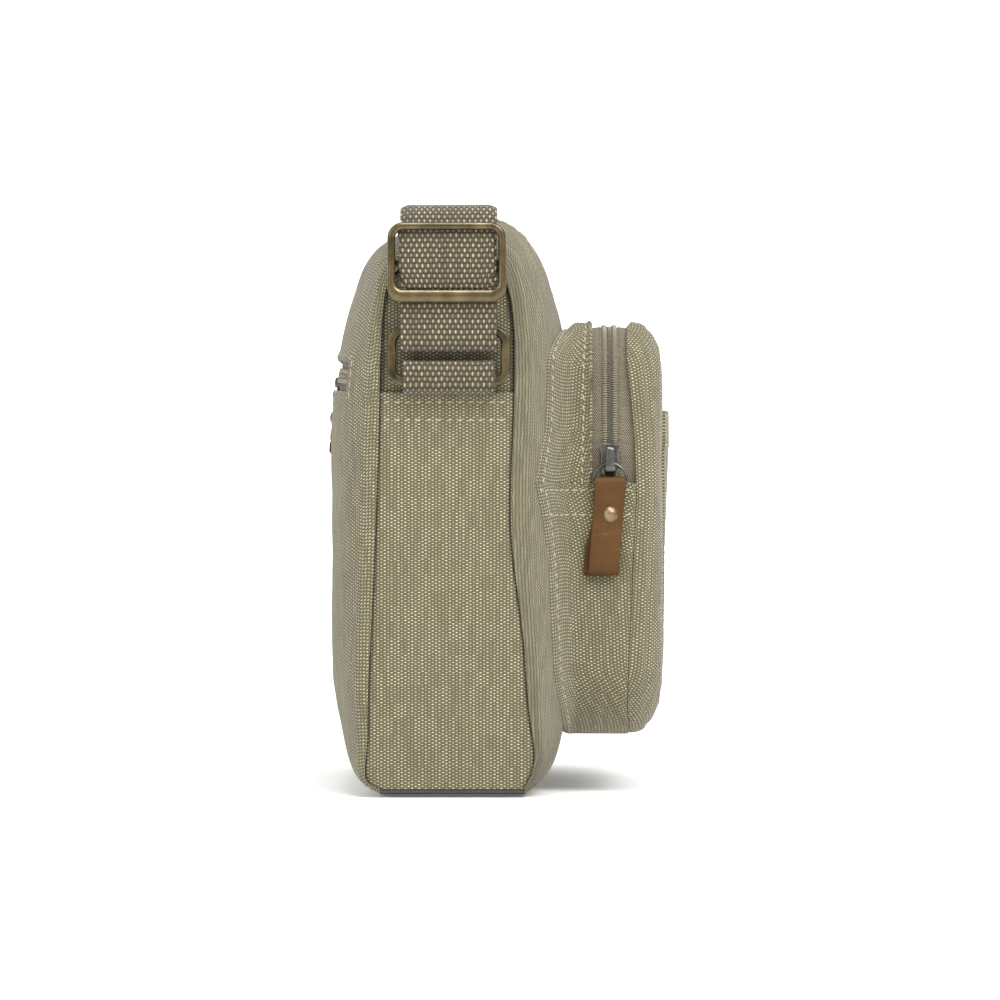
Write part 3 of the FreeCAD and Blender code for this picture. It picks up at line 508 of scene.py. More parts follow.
# section of the body, (y, z) from the back of the base over the top to the front: full, then at the ends
fullOutline = [
    (30.0, 0.0), (39.4, 6.4), (45.2, 20.0), (49.6, 41.0), (deep, 64.0), (deep, 112.0), (deep - 0.8, 162.0),
    (deep - 5.0, 188.0), (deep - 10.4, tall - 27.0), (deep - 18.0, tall - 13.0), (22.0, tall - 6.0),
    (5.0, tall - 1.2), (-11.0, tall), (-19.0, tall - 1.4), (-27.0, tall - 6.6), (-slim + 9.6, tall - 18.5),
    (-slim + 3.8, tall - 35.0), (-slim + 0.4, 180.0), (-slim, 148.0), (-slim, 104.0), (-slim, 60.0),
    (-slim + 0.8, 26.0), (-slim + 5.8, 10.0), (-28.0, 0.0)]
endOutline = [
    (30.0, 3.0), (34.6, 5.0), (35.8, 16.0), (35.0, 38.0), (34.0, 62.0), (31.8, 112.0), (30.4, 158.0),
    (29.8, 180.0), (28.8, tall - 37.0), (25.6, tall - 25.0), (17.0, tall - 18.6), (4.0, tall - 16.0),
    (-7.5, tall - 16.0), (-13.6, tall - 18.0), (-18.4, tall - 22.6), (-21.8, tall - 31.0),
    (-23.6, tall - 44.0), (-24.0, 172.0), (-23.4, 146.0), (-22.6, 106.0), (-27.6, 62.0), (-30.6, 28.0),
    (-31.6, 12.0), (-28.0, 3.0)]
# how far from the end each point of the section starts to turn in
roundings = [22.0, 30.0, 42.0] + [50.0] * 6 + [36.0] + [22.0] * 5 + [30.0, 42.0] + [50.0] * 5 + [34.0, 22.0]


def naturalSpline(knots, values, at):
    # cubic curve through values, one column at a time
    n = len(knots)
    h = np.diff(knots)
    system = np.eye(n)
    right = np.zeros((n, values.shape[1]))
    for i in range(1, n - 1):
        system[i, i - 1:i + 2] = (h[i - 1], 2 * (h[i - 1] + h[i]), h[i])
        right[i] = 6 * ((values[i + 1] - values[i]) / h[i] - (values[i] - values[i - 1]) / h[i - 1])
    bend = np.linalg.solve(system, right)
    i = np.clip(np.searchsorted(knots, at) - 1, 0, n - 2)
    a = ((knots[i + 1] - at) / h[i])[:, None]
    b = 1 - a
    hh = (h[i] ** 2)[:, None]
    return a * values[i] + b * values[i + 1] + ((a ** 3 - a) * bend[i] + (b ** 3 - b) * bend[i + 1]) * hh / 6


fullPoints, endPoints = np.array(fullOutline), np.array(endOutline)
fullKnots, endKnots = chordKnots(fullPoints), chordKnots(endPoints)
index = np.arange(len(fullOutline))
share = np.linspace(0, index[-1], 1400)
fullCurve = naturalSpline(fullKnots, fullPoints, np.interp(share, index, fullKnots))
endCurve = naturalSpline(endKnots, endPoints, np.interp(share, index, endKnots))
roundCurve = np.interp(share, index, roundings)
outlineRun = chordKnots(fullCurve)
outlineLength = outlineRun[-1]


def runNear(y, z):
    return float(outlineRun[np.argmin(np.linalg.norm(fullCurve - (y, z), axis=1))])


backZip, mainZip = runNear(49.16, 169.6), runNear(-22.26, 230.05)
slots = [  # the zips' openings: half width, half length and how far their edges roll out
    {"run": backZip, "half": 6.2, "limit": 116.0, "lip": 0.8},
    {"run": mainZip, "half": 5.2, "limit": 98.0, "lip": 1.3},
]


def lookUp(curve, s):
    if curve.ndim == 1:
        return float(np.interp(s, outlineRun, curve))
    return placeAlong(curve, outlineRun, s)


def bodyAt(x, s):
    # a point of the smooth body, s millimetres round the outline from the back of the base
    t = min(max((half - abs(x)) / lookUp(roundCurve, s), 0.0), 1.0)
    t = math.sqrt(max(1 - (1 - t) ** 2, 0.0))
    end, full = lookUp(endCurve, s), lookUp(fullCurve, s)
    p = end + (full - end) * t
    return np.array([x, p[0], p[1]])


def outwardAt(x, s):
    along = bodyAt(x, s + 0.6) - bodyAt(x, s - 0.6)
    side = bodyAt(min(x + 0.5, half - 0.1), s) - bodyAt(max(x - 0.5, 0.1 - half), s)
    normal = np.cross(along, side)
    return normal / max(np.linalg.norm(normal), 1e-9)


def columnX(u, s):
    # columns crowd together where the ends turn in
    r = lookUp(roundCurve, s)
    w = abs(2 * u - 1)
    if w > 0.6:
        x = half - r * (1 - math.cos((1 - w) / 0.4 * math.pi / 2))
    else:
        x = (half - r) * w / 0.6
    return math.copysign(x, 2 * u - 1)


stops = [0.0]
for slot in slots:
    stops += [slot["run"] - slot["half"], slot["run"] + slot["half"]]
stops.append(outlineLength)
rowStops = sorted({s for low, high, count in zip(stops, stops[1:], (92, 9, 74, 9, 96))
                   for s in np.linspace(low, high, count)})


def rowRun(v):
    return float(np.interp(v * (len(rowStops) - 1), range(len(rowStops)), rowStops))


def bodySkin(u, v):
    s = rowRun(v)
    x = columnX(u, s)
    p = bodyAt(x, s)
    d = half - abs(x)
    crease = bagBody["crease"] * ripple(x, p[1], p[2], 34.0) + 0.35 * ripple(x, p[1], p[2], 13.0, 5.0)
    crease *= smooth(0.0, 14.0, d)
    lips = 0.0
    for slot in slots:
        away = abs(s - slot["run"])
        crease *= smooth(5.0, 24.0, away)
        limit = slot["limit"]
        lips += slot["lip"] * hill(away - slot["half"], 1.5, 1.5) * smooth(limit + 5, limit, abs(x))
    pucker = 0.18 * math.sin(s / stitch["pitch"] * 2 * math.pi) * math.exp(-d / 9.0) * smooth(0.0, 1.0, d)
    endRoll = 0.65 * hill(d, 1.9, 1.5)
    return p + outwardAt(x, s) * (crease + lips + endRoll + pucker - 0.15)


def slotHole(u, v):
    s = rowRun(v)
    x = abs(columnX(u, s))
    return any(abs(s - slot["run"]) < slot["half"] and x < slot["limit"] for slot in slots)


skin = addSheet("bodyCanvas", 150, len(rowStops) - 1, bodySkin, ((0, 5, 232), (0, 0, 1)),
                thick=bagBody["cloth"], drop=slotHole)
finishPiece(skin, "bag", canvas, ("front_panel", "back_panel"))
print("body canvas", len(skin.data.polygons), "faces")

rows = []
for slot in slots:
    end, reach = slot["limit"] + 3.0, slot["half"] + 2.4
    corners = [(-end, -reach), (end, -reach), (end, reach), (-end, reach), (-end, -reach)]
    for here, there in zip(corners, corners[1:]):
        spots = [(x, slot["run"] + away) for x, away in np.linspace(here, there, 120)]
        ups = [outwardAt(*spot) for spot in spots]
        rows += stitchRow([bodyAt(*spot) + n * 0.15 for spot, n in zip(spots, ups)], ups)
sewOn("zipSurroundStitches", rows)
topIndex = int(endCurve[:, 1].argmax())


def endBack(z):
    return float(np.interp(z, endCurve[:topIndex, 1], endCurve[:topIndex, 0]))


def endFront(z):
    return float(np.interp(z, endCurve[topIndex:, 1][::-1], endCurve[topIndex:, 0][::-1]))


endPanel = {"seam": 161.8, "lowerFrom": 3.2, "upperTo": 216.6, "tuck": 9.0, "bulge": 2.1, "roll": 2.4,
            "layer": 2.4, "stitchRows": (158.0, 150.8)}


def endSurface(side, z, f, lower):
    front, across = endFront(z), endBack(z) - endFront(z)
    y = front + across * f
    edge = min(f, 1 - f) * across
    belly = endPanel["bulge"] * math.sin(math.pi * f) ** 0.8 * smooth(150.0, 110.0, z) * smooth(2.0, 26.0, z)
    crease = 0.55 * ripple(side * 7, y, z, 26.0, 3.0) + 0.2 * ripple(side, y, z, 9.0, 8.0)
    out = half - (endPanel["roll"] * hill(edge, 0, 1.0) + 0.25)
    out += (belly + crease * smooth(160.0, 140.0, z)) * smooth(0.0, 8.0, edge)
    if lower:  # the folded top edge stands up and the stitches sink in
        out += 0.5 * hill(z, endPanel["seam"] - 1.1, 1.1)
        out -= 0.25 * sum(hill(z, row, 1.1) for row in endPanel["stitchRows"])
    else:
        out -= endPanel["layer"]
    return np.array([side * out, y, z])


def addEnd(side, name):
    low, seam, high, tuck = (endPanel[key] for key in ("lowerFrom", "seam", "upperTo", "tuck"))
    for part, start, stop, rows, thick, shift in (("Lower", low, seam, 130, 1.1, (0.0, 0.0)),
                                                  ("Upper", seam - tuck, high, 50, 1.0, (0.3, 0.2))):
        panel = addSheet("gusset" + part + name, 44, rows,
                         lambda u, v: endSurface(side, start + (stop - start) * v, u, part == "Lower"),
                         ((side * half, 0, (start + stop) / 2), (side, 0, 0)), thick=thick,
                         uvOf=lambda p, u, v: (p[1] + shift[0], p[2] + shift[1]))
        finishPiece(panel, "bag", canvas, ("gusset_%s_%s" % (part.lower(), name.lower()),))
    places = []
    for row in endPanel["stitchRows"]:
        line = [endSurface(side, row, f, True) - (side * 0.02, 0, 0) for f in np.linspace(0.05, 0.95, 60)]
        places += stitchRow(line, (side, 0, 0))
    sewOn("gussetStitches" + name, places)


addEnd(-1, "Left")
addEnd(1, "Right")


def basePoint(u, v):
    x = columnX(u, 0.0)
    front, back = bodyAt(x, outlineLength), bodyAt(x, 0.0)
    p = front + (back - front) * v
    return p + np.array([0, 0, 0.1 + 0.5 * math.sin(math.pi * v) * smooth(0, 30, half - abs(x))])


# the base panel takes the darker canvas, painted shade under the bag
base = addSheet("basePanel", 80, 24, basePoint, ((0, 0, 0), (0, 0, -1)), thick=2.0)
finishPiece(base, "bag", baseShadeCanvas, ("base_panel",))
print("ends and base made")


# zips: each path gives (place, along, across, out) at a share of its length

zipParts = {"tooth": (2.1, 0.66, 1.0), "hook": (1.0, 0.34, 0.5), "stitch": (1.9, 0.5, 0.45),
            "pitch": 0.95, "rowOffset": 2.05, "sunk": -2.4}


def bodyZipPath(s, reach):
    def at(u):
        x = -reach + 2 * reach * u
        along, n = np.array([1.0, 0, 0]), outwardAt(x, s)
        return bodyAt(x, s), along, np.cross(n, along), n
    return at


pocket = {
    "half": 105.0, "low": 23.4, "high": 191.6, "topRound": 21.0, "lowRound": 30.0, "rim": 72.0, "rise": 12.4,
    "faceRound": 20.0, "zipDepth": 62.5, "zipEnd": 125.6, "stripFront": -54.4, "sideFront": -71.6,
    "flareTo": -49.5, "slipHalf": 72.0, "slipTop": 155.6, "slipLow": 47.0, "slipRows": (153.4, 141.5),
}


def pocketLoop(low, high, inset, topRound, lowRound):
    # from the middle of the bottom, up the left side, over the top and back
    h = pocket["half"] - inset
    return roundedPath([(0, low), (-h, low), (-h, high), (h, high), (h, low), (0, low)],
                       [lowRound, topRound, topRound, lowRound], 1.0)


rimLine = pocketLoop(pocket["low"], pocket["high"], 0.0, pocket["topRound"], pocket["lowRound"])
rimRun = chordKnots(rimLine)
rimTotal = rimRun[-1]
upLeft = slice(20, len(rimLine) // 2)  # the rising part of the outline
leftEnd = float(np.interp(pocket["zipEnd"], rimLine[upLeft, 1], rimRun[upLeft]))


def rimAt(q):
    # place, direction and outward normal of the pocket's outline, q millimetres along it
    q = min(max(q, 0.0), rimTotal)
    d = headingAlong(rimLine, rimRun, q, 0.8)
    return placeAlong(rimLine, rimRun, q), d, np.array([-d[1], d[0]])


def pocketZipPath(u):
    p, d, n = rimAt(leftEnd + (rimTotal - 2 * leftEnd) * u)
    return (np.array([p[0], -pocket["zipDepth"], p[1]]), np.array([d[0], 0, d[1]]), np.array([0, -1.0, 0]),
            np.array([n[0], 0, n[1]]))


def addZip(name, path, length, reaches):
    inner = zipParts["sunk"]
    steps = int(length / 1.6)
    middle = path(0.5)
    facing = tuple(middle[3])
    tapes, coils = name + "_zip_tapes", name + "_zip_coils"
    for side, word, reach in ((-1, "Near", reaches[0]), (1, "Far", reaches[1])):
        def tapeAt(u, v):
            p, _, across, out = path(u)
            w = side * (0.9 + (reach - 0.9) * v)
            return p + across * w + out * (inner + 0.25 * hill(abs(w), 4.6, 1.2))
        spot = tuple(middle[0] + middle[2] * side * 3 + middle[3] * inner)
        tape = addSheet(name + "Tape" + word, steps, 10, tapeAt, (spot, facing), thick=0.6)
        finishPiece(tape, "bag", zipCloth, (tapes,))
    teeth, hooks, cords = [], [], []
    count = int(length / zipParts["pitch"])
    for i in range(count):
        for side, late in ((-1, 1.0), (1, 0.5)):
            p, along, across, out = path((i + late) / (count + 1))
            row = p + across * side * zipParts["rowOffset"]
            teeth.append((row + out * (inner + 0.7), across + along * 0.08, out))
            hooks.append((p + across * side * 0.42 + out * (inner + 0.35), across + along * side * 0.5, out))
    scatter(name + "Coil", teeth, zipParts["tooth"], "bag", nylon, (coils,))
    scatter(name + "CoilHooks", hooks, zipParts["hook"], "bag", nylon)

    # a dark strip under the coil: painted shade between the two rows of teeth
    def shadowSheetAt(u, v):
        p, _, across, out = path(u)
        return p + across * (v - 0.5) * 2.2 + out * (inner - 0.1)
    spot = tuple(middle[0] + middle[3] * inner)
    strip = addSheet(name + "ZipShadowSheet", steps, 2, shadowSheetAt, (spot, facing), thick=0.4)
    finishPiece(strip, "bag", shadowCloth)
    line = [path(u) for u in np.linspace(0.0, 1.0, int(length / 2))]
    for side in (-1, 1):
        row = [p + across * side * 3.9 + out * (inner + 0.18) for p, _, across, out in line]
        cords += stitchRow(row, [place[3] for place in line], 2.4)
    scatter(name + "ZipStitches", cords, zipParts["stitch"], "bag", zipCloth)


addZip("main", bodyZipPath(mainZip, 97.0), 194.0, (8.0, 8.0))
addZip("back", bodyZipPath(backZip, 115.0), 230.0, (8.5, 8.5))
addZip("pocket", pocketZipPath, rimTotal - 2 * leftEnd, (8.9, 12.0))
print("zips made")


# the front pocket

frontIndex = int(fullCurve[:, 1].argmax())


def frontAt(x, z):
    # how far out the body's front is behind a point of the pocket
    t = np.clip((half - abs(x)) / roundCurve[frontIndex:], 0, 1)
    t = np.sqrt(1 - (1 - t) ** 2)[:, None]
    section = endCurve[frontIndex:] + (fullCurve[frontIndex:] - endCurve[frontIndex:]) * t
    return float(np.interp(z, section[::-1, 1], section[::-1, 0]))


def pocketSide(q, y, lift=0.0):
    p, _, n = rimAt(q)
    return np.array([p[0] + n[0] * lift, y, p[1] + n[1] * lift])


# at heights up the pocket: how far its side spreads on the body, and how its face seam wanders
flare = [(0, 9.0), (30, 11.0), (48, 13.0), (70, 13.5), (91, 13.5), (110, 16.5), (121, 19.5), (126, 20.5),
         (137, 18.5), (148, 16.0), (175, 15.0), (192, 10.0)]
wander = [(30, 1.6), (55, 0.9), (66, 0.3), (91, -0.8), (120, -2.2), (143, -1.5), (160, 0.0), (175, 1.8)]
stripFrom, stripTo = leftEnd - 1.0, rimTotal - leftEnd + 1.0


def atHeight(table, z):
    return float(np.interp(z, *zip(*table)))


def rimWander(x, z):
    return atHeight(wander, z) * smooth(85.0, 100.0, abs(x))


def stripAt(q, v, front):
    # the side of the pocket: it spreads where it is sewn to the body, and dips there along the top
    p, _, n = rimAt(q)
    spread = atHeight(flare, p[1]) * abs(n[0]) ** 2 - 5.2 * max(n[1], 0.0) ** 2
    back = frontAt(*(p + n * spread)) + 0.8
    y = back + (front - back) * v
    reach = min(max((y - back) / (pocket["flareTo"] - back), 0.0), 1.0)
    lift = spread * (1 - smooth(0.0, 1.0, reach ** 0.85))
    lift -= 1.1 * hill(y - back, -0.3, 1.3)
    lift += 0.7 * ripple(p[0], y, p[1], 20.0, 2.0) * smooth(0.0, 0.2, v) * smooth(1.0, 0.8, v)
    return y, lift


def stripRun(u):
    return stripFrom + (stripTo - stripFrom) * u


def upperStrip(u, v):
    q = stripRun(u)
    y, lift = stripAt(q, v, pocket["stripFront"])
    lift += 1.3 * hill(y, pocket["stripFront"], 0.7)
    lift -= 0.5 * max(rimAt(q)[2][1], 0.0) * smooth(-48.0, -54.0, y)
    return pocketSide(q, y, lift)


def sideRun(side, u):
    return leftEnd * u if side < 0 else rimTotal - leftEnd * u


def lowerStrip(side):
    def at(u, v):
        q = sideRun(side, u)
        y, lift = stripAt(q, v, pocket["sideFront"])
        lift += 0.6 * smooth(3.0, 0.0, leftEnd * (1 - u)) - 1.7 * smooth(0.955, 1.0, v)
        lift += 0.7 * ripple(q, y, 0, 24.0, 4.0) * smooth(0, 0.3, v)
        y += rimWander(*rimAt(q)[0]) * v ** 2
        return pocketSide(q, y, lift + 0.3)
    return at


upper = addSheet("pocketStrip", 260, 14, upperStrip, ((0, -50, pocket["high"]), (0, 0, 1)), thick=1.5)
finishPiece(upper, "bag", canvasAcross, ("pocket_side_upper",))
for side, word in ((-1, "Left"), (1, "Right")):
    low = addSheet("pocketSide" + word, 130, 26, lowerStrip(side),
                   ((side * pocket["half"], -60, 90), (side, 0, 0)), thick=1.5)
    finishPiece(low, "bag", canvasAcross, ("pocket_side_lower",))


# the face is made of rings: how far each one lies inside the rim, and below zero on the turned edge
faceStops = [-0.8, -0.4, 0.0, 0.35, 0.9, 1.7, 2.8, 4.2, 6.0, 8.0, 10.5, 13.5, 17.0, 21.0, 26.0, 32.0, 39.0,
             47.0, 56.0, 62.0]
faceRings, flatRings = 24, 5
rings = {}
turnInsets = np.linspace(0, pocket["faceRound"], 300)
turnRises = pocket["rise"] * np.sqrt(1 - (1 - turnInsets / pocket["faceRound"]) ** 2)
turnRun = chordKnots(np.stack([turnInsets, turnRises], axis=1))


def ringInset(v):
    return float(np.interp(v * faceRings, range(len(faceStops)), faceStops))


def domeAt(u, v):
    # the outer rings turn the edge, and the inner ones shrink to the middle of the flat face
    e = ringInset(v)
    inset = max(e, 0.0)
    low, high = pocket["low"] + inset * 1.15, pocket["high"] - inset
    key = round(inset, 3)
    if key not in rings:
        path = pocketLoop(low, high, inset, max(pocket["topRound"] - inset * 0.8, 4.0),
                          max(pocket["lowRound"] - inset * 0.8, 5.0))
        rings[key] = (path, chordKnots(path))
    path, run = rings[key]
    shrink = min(1.0, (faceRings - v * faceRings) / flatRings)
    x, z = placeAlong(path, run, u * run[-1])
    middle = (low + high) / 2
    x, z = x * shrink, middle + (z - middle) * shrink
    t = min(inset / pocket["faceRound"], 1.0)
    rise = pocket["rise"] * math.sqrt(1 - (1 - t) ** 2)
    rise += 0.4 * hill(inset, 1.2, 0.8) - 0.5 * hill(inset, 2.6, 0.6)
    rise += 0.35 * hill(inset, 11.0, 1.2) - 0.4 * hill(inset, 13.0, 0.7)
    rise += (0.8 * ripple(x, 0, z, 36.0, 6.0) + 0.3 * ripple(x, 0, z, 14.0, 9.0)) * smooth(3.0, 16.0, inset)
    y = -(pocket["rim"] + rise) - min(e, 0.0) + rimWander(x, z) * smooth(14.0, 0.0, inset)
    return np.array([x, y, z])


def domeCloth(p, u, v):
    # the turned edge is rolled out flat, so the weave keeps its size round the side
    e = ringInset(v)
    left = pocket["faceRound"] - min(max(e, 0.0), pocket["faceRound"])
    rolled = float(np.interp(pocket["faceRound"] - left, turnInsets, turnRun))
    spare = turnRun[-1] - rolled - left - min(e, 0.0)
    path, run = rings[round(max(e, 0.0), 3)]
    d = headingAlong(path, run, u * run[-1], 1.0)
    return p[0] - d[1] * spare, p[2] + d[0] * spare


face = addSheet("pocketFace", 300, faceRings, domeAt, ((0, -84.4, 100), (0, -1, 0)), thick=1.6,
                uvOf=domeCloth, closed=True)
finishPiece(face, "bag", canvas, ("pocket_face",))


def slipAt(u, v):
    x = -pocket["slipHalf"] + 2 * pocket["slipHalf"] * u
    z = pocket["slipLow"] + (pocket["slipTop"] - pocket["slipLow"]) * v
    gape = 2.5 * smooth(62.0, 150.0, z) * smooth(0.0, 26.0, pocket["slipHalf"] - abs(x))
    hem = 0.35 * smooth(140.0, 141.5, z)
    out = pocket["rim"] + pocket["rise"] + 1.0 + gape + hem
    out += 0.5 * ripple(x, 3, z, 30.0, 12.0) - 2.4 * smooth(64.0, 47.0, z)
    return np.array([x, -out, z])


slip = addSheet("slipPocket", 90, 70, slipAt, ((0, -87, 100), (0, -1, 0)), thick=1.5,
                uvOf=lambda p, u, v: (p[0], p[2]))
finishPiece(slip, "bag", canvas, ("slip_pocket",))


def outwardRim(q):
    n = rimAt(q)[2]
    return n[0], 0, n[1]


seams = []
shares = np.linspace(0, 1, 400)
for v in (0.19, 0.86):
    seams += stitchRow([upperStrip(u, v) for u in shares], [outwardRim(stripRun(u)) for u in shares])
shares = np.linspace(0.12, 0.99, 200)
for side in (-1, 1):
    surface = lowerStrip(side)
    for z in (122.8, 112.8):
        u = 1 - (pocket["zipEnd"] - z) / leftEnd
        seams += stitchRow([surface(u, v) for v in np.linspace(0.05, 0.97, 30)], (side, 0, 0), 3.6)
    seams += stitchRow([surface(u, 0.12) for u in shares], [outwardRim(sideRun(side, u)) for u in shares])
sewOn("pocketSideStitches", seams)


def beadAt(u, v):
    # the turned allowance above the pocket's top seam
    q = rimTotal * (0.26 + 0.48 * u)
    p, _, n = rimAt(q)
    r = 1.7 * smooth(0.0, 0.05, u) * smooth(1.0, 0.95, u) + 0.05
    a = v * 2 * math.pi
    return pocketSide(q, frontAt(*(p - n * 4.6)) - 1.3 + r * math.cos(a), r * math.sin(a) - 4.6)


bead = addSheet("pocketSeamRoll", 220, 10, beadAt, ((0, -46, 189), (0, 0, 1)), closed=True)
finishPiece(bead, "bag", canvasAcross)

faceSeams = stitchRow([domeAt(k / 419, 10.85 / faceRings) - (0, 0.15, 0) for k in range(420)], (0, -1, 0))
for z in pocket["slipRows"]:
    v = (z - pocket["slipLow"]) / (pocket["slipTop"] - pocket["slipLow"])
    line = [slipAt(u, v) - (0, 0.05, 0) for u in np.linspace(3 / 144, 141 / 144, 60)]
    faceSeams += stitchRow(line, (0, -1, 0), 4.0)
for u in (0.04, 0.96):
    line = [slipAt(u, v) - (0, 0.05, 0) for v in np.linspace(0.04, 0.98, 50)]
    faceSeams += stitchRow(line, (0, -1, 0), 4.0)
sewOn("pocketFaceStitches", faceSeams)


def bindingAt(u, v):
    x = -75 + 150 * u
    return np.array([x, -46.5 - 4.5 * v, 22.9 + 0.5 * ripple(x, v * 5, 0, 12.0)])


binding = addSheet("seamBinding", 100, 6, bindingAt, ((0, -48, 22), (0, 0, -1)), thick=1.1)
finishPiece(binding, "bag", grosgrain, ("pocket_seam_binding",))
print("pocket made")


# strap and its tabs

strap = {"width": 38.0, "middle": 2.5, "cloth": 1.5, "top": 236.4, "out": 8.4, "back": 1.3, "bend": 12.4,
         "ringBar": 182.5}
hank = {"legs": 7, "pitch": 3.2, "top": 206.0, "low": 72.0, "ringOut": 6.7, "ringBar": 181.6,
        "tailTop": 200.0}


def addRibbon(name, path, width, thick, body, replaced, ripples=0.0, droop=0.0):
    # webbing of one width, following (x, z) points
    run, step = chordKnots(path), headings(path)
    side = width / 2

    def at(u, v):
        q = u * run[-1]
        (x, z), (dx, dz) = placeAlong(path, run, q), placeAlong(step, run, q)
        w = (v - 0.5) * width
        lift = ripples * ripple(q, w, 0, 30.0, 7.0) - 0.18 * smooth(side - 1.2, side, abs(w))
        lift -= droop * smooth(side - 3.4, side, abs(w)) ** 2 * smooth(225.0, 234.0, z)
        edge = 0.12 * math.sin(q / 2.12 * math.pi) * smooth(side - 1.0, side, abs(w))
        return np.array([x - dz * lift, strap["middle"] + w + math.copysign(edge, w), z + dx * lift])
    x, z = path[len(path) // 2]
    ribbon = addSheet(name, max(int(run[-1] / 1.5), 8), 16, at, ((x, strap["middle"], z), (0.01, 0, 1)),
                      thick=thick, uvOf=lambda p, u, v: ((v - 0.5) * width, u * run[-1]), offset=0.0)
    finishPiece(ribbon, body, webbing, replaced)
    return ribbon, run[-1]


def leftRun():
    left, back = -half - strap["out"], -half - strap["back"]
    turn = (strap["out"] - strap["back"]) / 2 - 0.01
    low = strap["ringBar"] - turn
    return [(back, 206.0), (back, low), (left, low), (left, strap["top"])], [turn, turn, strap["bend"]]


def rightRun():
    ring, tail = half + hank["ringOut"], half + strap["back"]
    around, bend = (hank["ringOut"] - strap["back"]) / 2 - 0.01, hank["pitch"] / 2 - 0.01
    low = hank["ringBar"] - around
    points, radii = [(tail, hank["tailTop"]), (tail, low), (ring, low)], [around, around]
    x = ring
    for leg in range(hank["legs"] - 1):
        z = hank["low"] if leg % 2 else hank["top"]
        points += [(x, z), (x + hank["pitch"], z)]
        radii += [bend, bend]
        x += hank["pitch"]
    points += [(x, hank["top"]), (half + 6, strap["top"])]
    return points[::-1], (radii + [22.0, 8.0])[::-1]


leftPoints, leftRadii = leftRun()
rightPoints, rightRadii = rightRun()
strapLine = roundedPath(leftPoints + rightPoints, leftRadii + rightRadii, 1.5)
ribbon, strapRun = addRibbon("strapWebbing", strapLine, strap["width"], strap["cloth"], "bag",
                             ("strap_left_run", "strap_top_run", "strap_folded_hank"), 0.15, 1.1)
bpy.ops.object.select_all(action="DESELECT")
ribbon.parent = None
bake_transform(ribbon)
print("strap length", round(strapRun))

adjuster = {
    "middle": 3.2, "front": -141.0, "thick": 3.2, "low": 197.4, "high": 229.4, "reach": 23.7, "round": 6.2,
    "topBar": 3.1, "sideBar": 3.2, "lowBar": 5.2, "windowRound": 3.4, "barHeight": 213.4, "barRound": 1.2,
    "eyeWrap": 1.85, "crest": 18.95,
}
eyeX, eyeWrap = -half - (strap["out"] + strap["back"]) / 2, adjuster["eyeWrap"]
eyeTop = adjuster["barHeight"] + eyeWrap
eyePath = roundedPath([(eyeX - eyeWrap, 201.0), (eyeX - eyeWrap, eyeTop), (eyeX + eyeWrap, eyeTop),
                       (eyeX + eyeWrap, 199.0)], [eyeWrap - 0.01] * 2, 0.6)
addRibbon("sewnEye", eyePath, strap["width"] - 0.4, 1.1, "adjuster", ("strap_sewn_eye",))


def frameEdge(inside):
    # the outer edge for 0, the window's edge for 1; both are walked with the same steps
    a = adjuster
    r = a["windowRound"] if inside else a["round"]
    side = a["reach"] - inside * a["sideBar"] - r
    low, high = a["low"] + inside * a["lowBar"] + r, a["high"] - inside * a["topBar"] - r
    loop = []
    for cy, cz, start in ((-side, high, 180), (side, high, 90), (side, low, 0), (-side, low, -90)):
        for t in np.radians(np.linspace(start, start - 90, 13)):
            loop.append((cy + r * math.cos(t), cz + r * math.sin(t)))
    return np.array(loop + loop[:1])


outerEdge, windowEdge = frameEdge(0), frameEdge(1)
edgeSteps = np.arange(len(outerEdge))


def frameAt(u, v):
    # between the corners the straight bars get their own steps
    o, w = (placeAlong(edge, edgeSteps, u * edgeSteps[-1]) for edge in (outerEdge, windowEdge))
    c, d = squaredTurn(v, 0.9)
    p = (o + w) / 2 + (o - w) / 2 * c
    sink = 0.35 * hill(p[1], adjuster["barHeight"], 4.0) * smooth(18.0, 21.0, abs(p[0]))
    return np.array([adjuster["front"] + sink - adjuster["thick"] / 2 * d, adjuster["middle"] + p[0], p[1]])


frameRing = addSheet("adjusterFrame", 208, 20, frameAt, ((-142.5, 2.5, 228), (-1, 0, 0)), closed=True)
finishPiece(frameRing, "adjuster", brass, ("strap_adjuster",))
barPath = roundedPath([(-140.6, -21.9), (-134.85, -21.9), (-134.85, 21.9), (-140.6, 21.9)], [2.6, 2.6], 0.7)
barRun = chordKnots(barPath)


def barAt(u, v):
    x, y = placeAlong(barPath, barRun, u * barRun[-1])
    a, b = headingAlong(barPath, barRun, u * barRun[-1], 0.4)
    r, t = adjuster["barRound"], v * 2 * math.pi
    return np.array([x + r * math.cos(t) * b, adjuster["middle"] + y - r * math.cos(t) * a,
                     adjuster["barHeight"] + r * math.sin(t)])


bar = addSheet("adjusterBar", 90, 12, barAt, ((-136, 2.5, 213.4), (-1, 0, 0)), closed=True)
finishPiece(bar, "adjuster", brass)


def crestAt(u, v):
    # the strap pushed forward through the window by the bar behind it
    z = 203.2 + 24.2 * u
    width = adjuster["crest"] - 1.5 * smooth(212.0, 203.0, z) + 0.9 * smooth(222.0, 226.0, z)
    y = (v - 0.5) * 2 * width
    x = -139.3 - 1.9 * math.sin(math.pi * min(max((z - 202.4) / 24.0, 0), 1)) ** 0.7
    x += 0.9 * smooth(width - 1.6, width, abs(y)) + 0.12 * ripple(y, z, 0, 8.0)
    edge = 0.12 * math.sin(z / 2.1 * math.pi) * smooth(17, 18.6, abs(y))
    return np.array([x, adjuster["middle"] + y + edge, z])


def crestCloth(p, u, v):
    return p[1] * 19 / (adjuster["crest"] - 1.5 * smooth(212.0, 203.0, p[2])), p[2] * 1.03


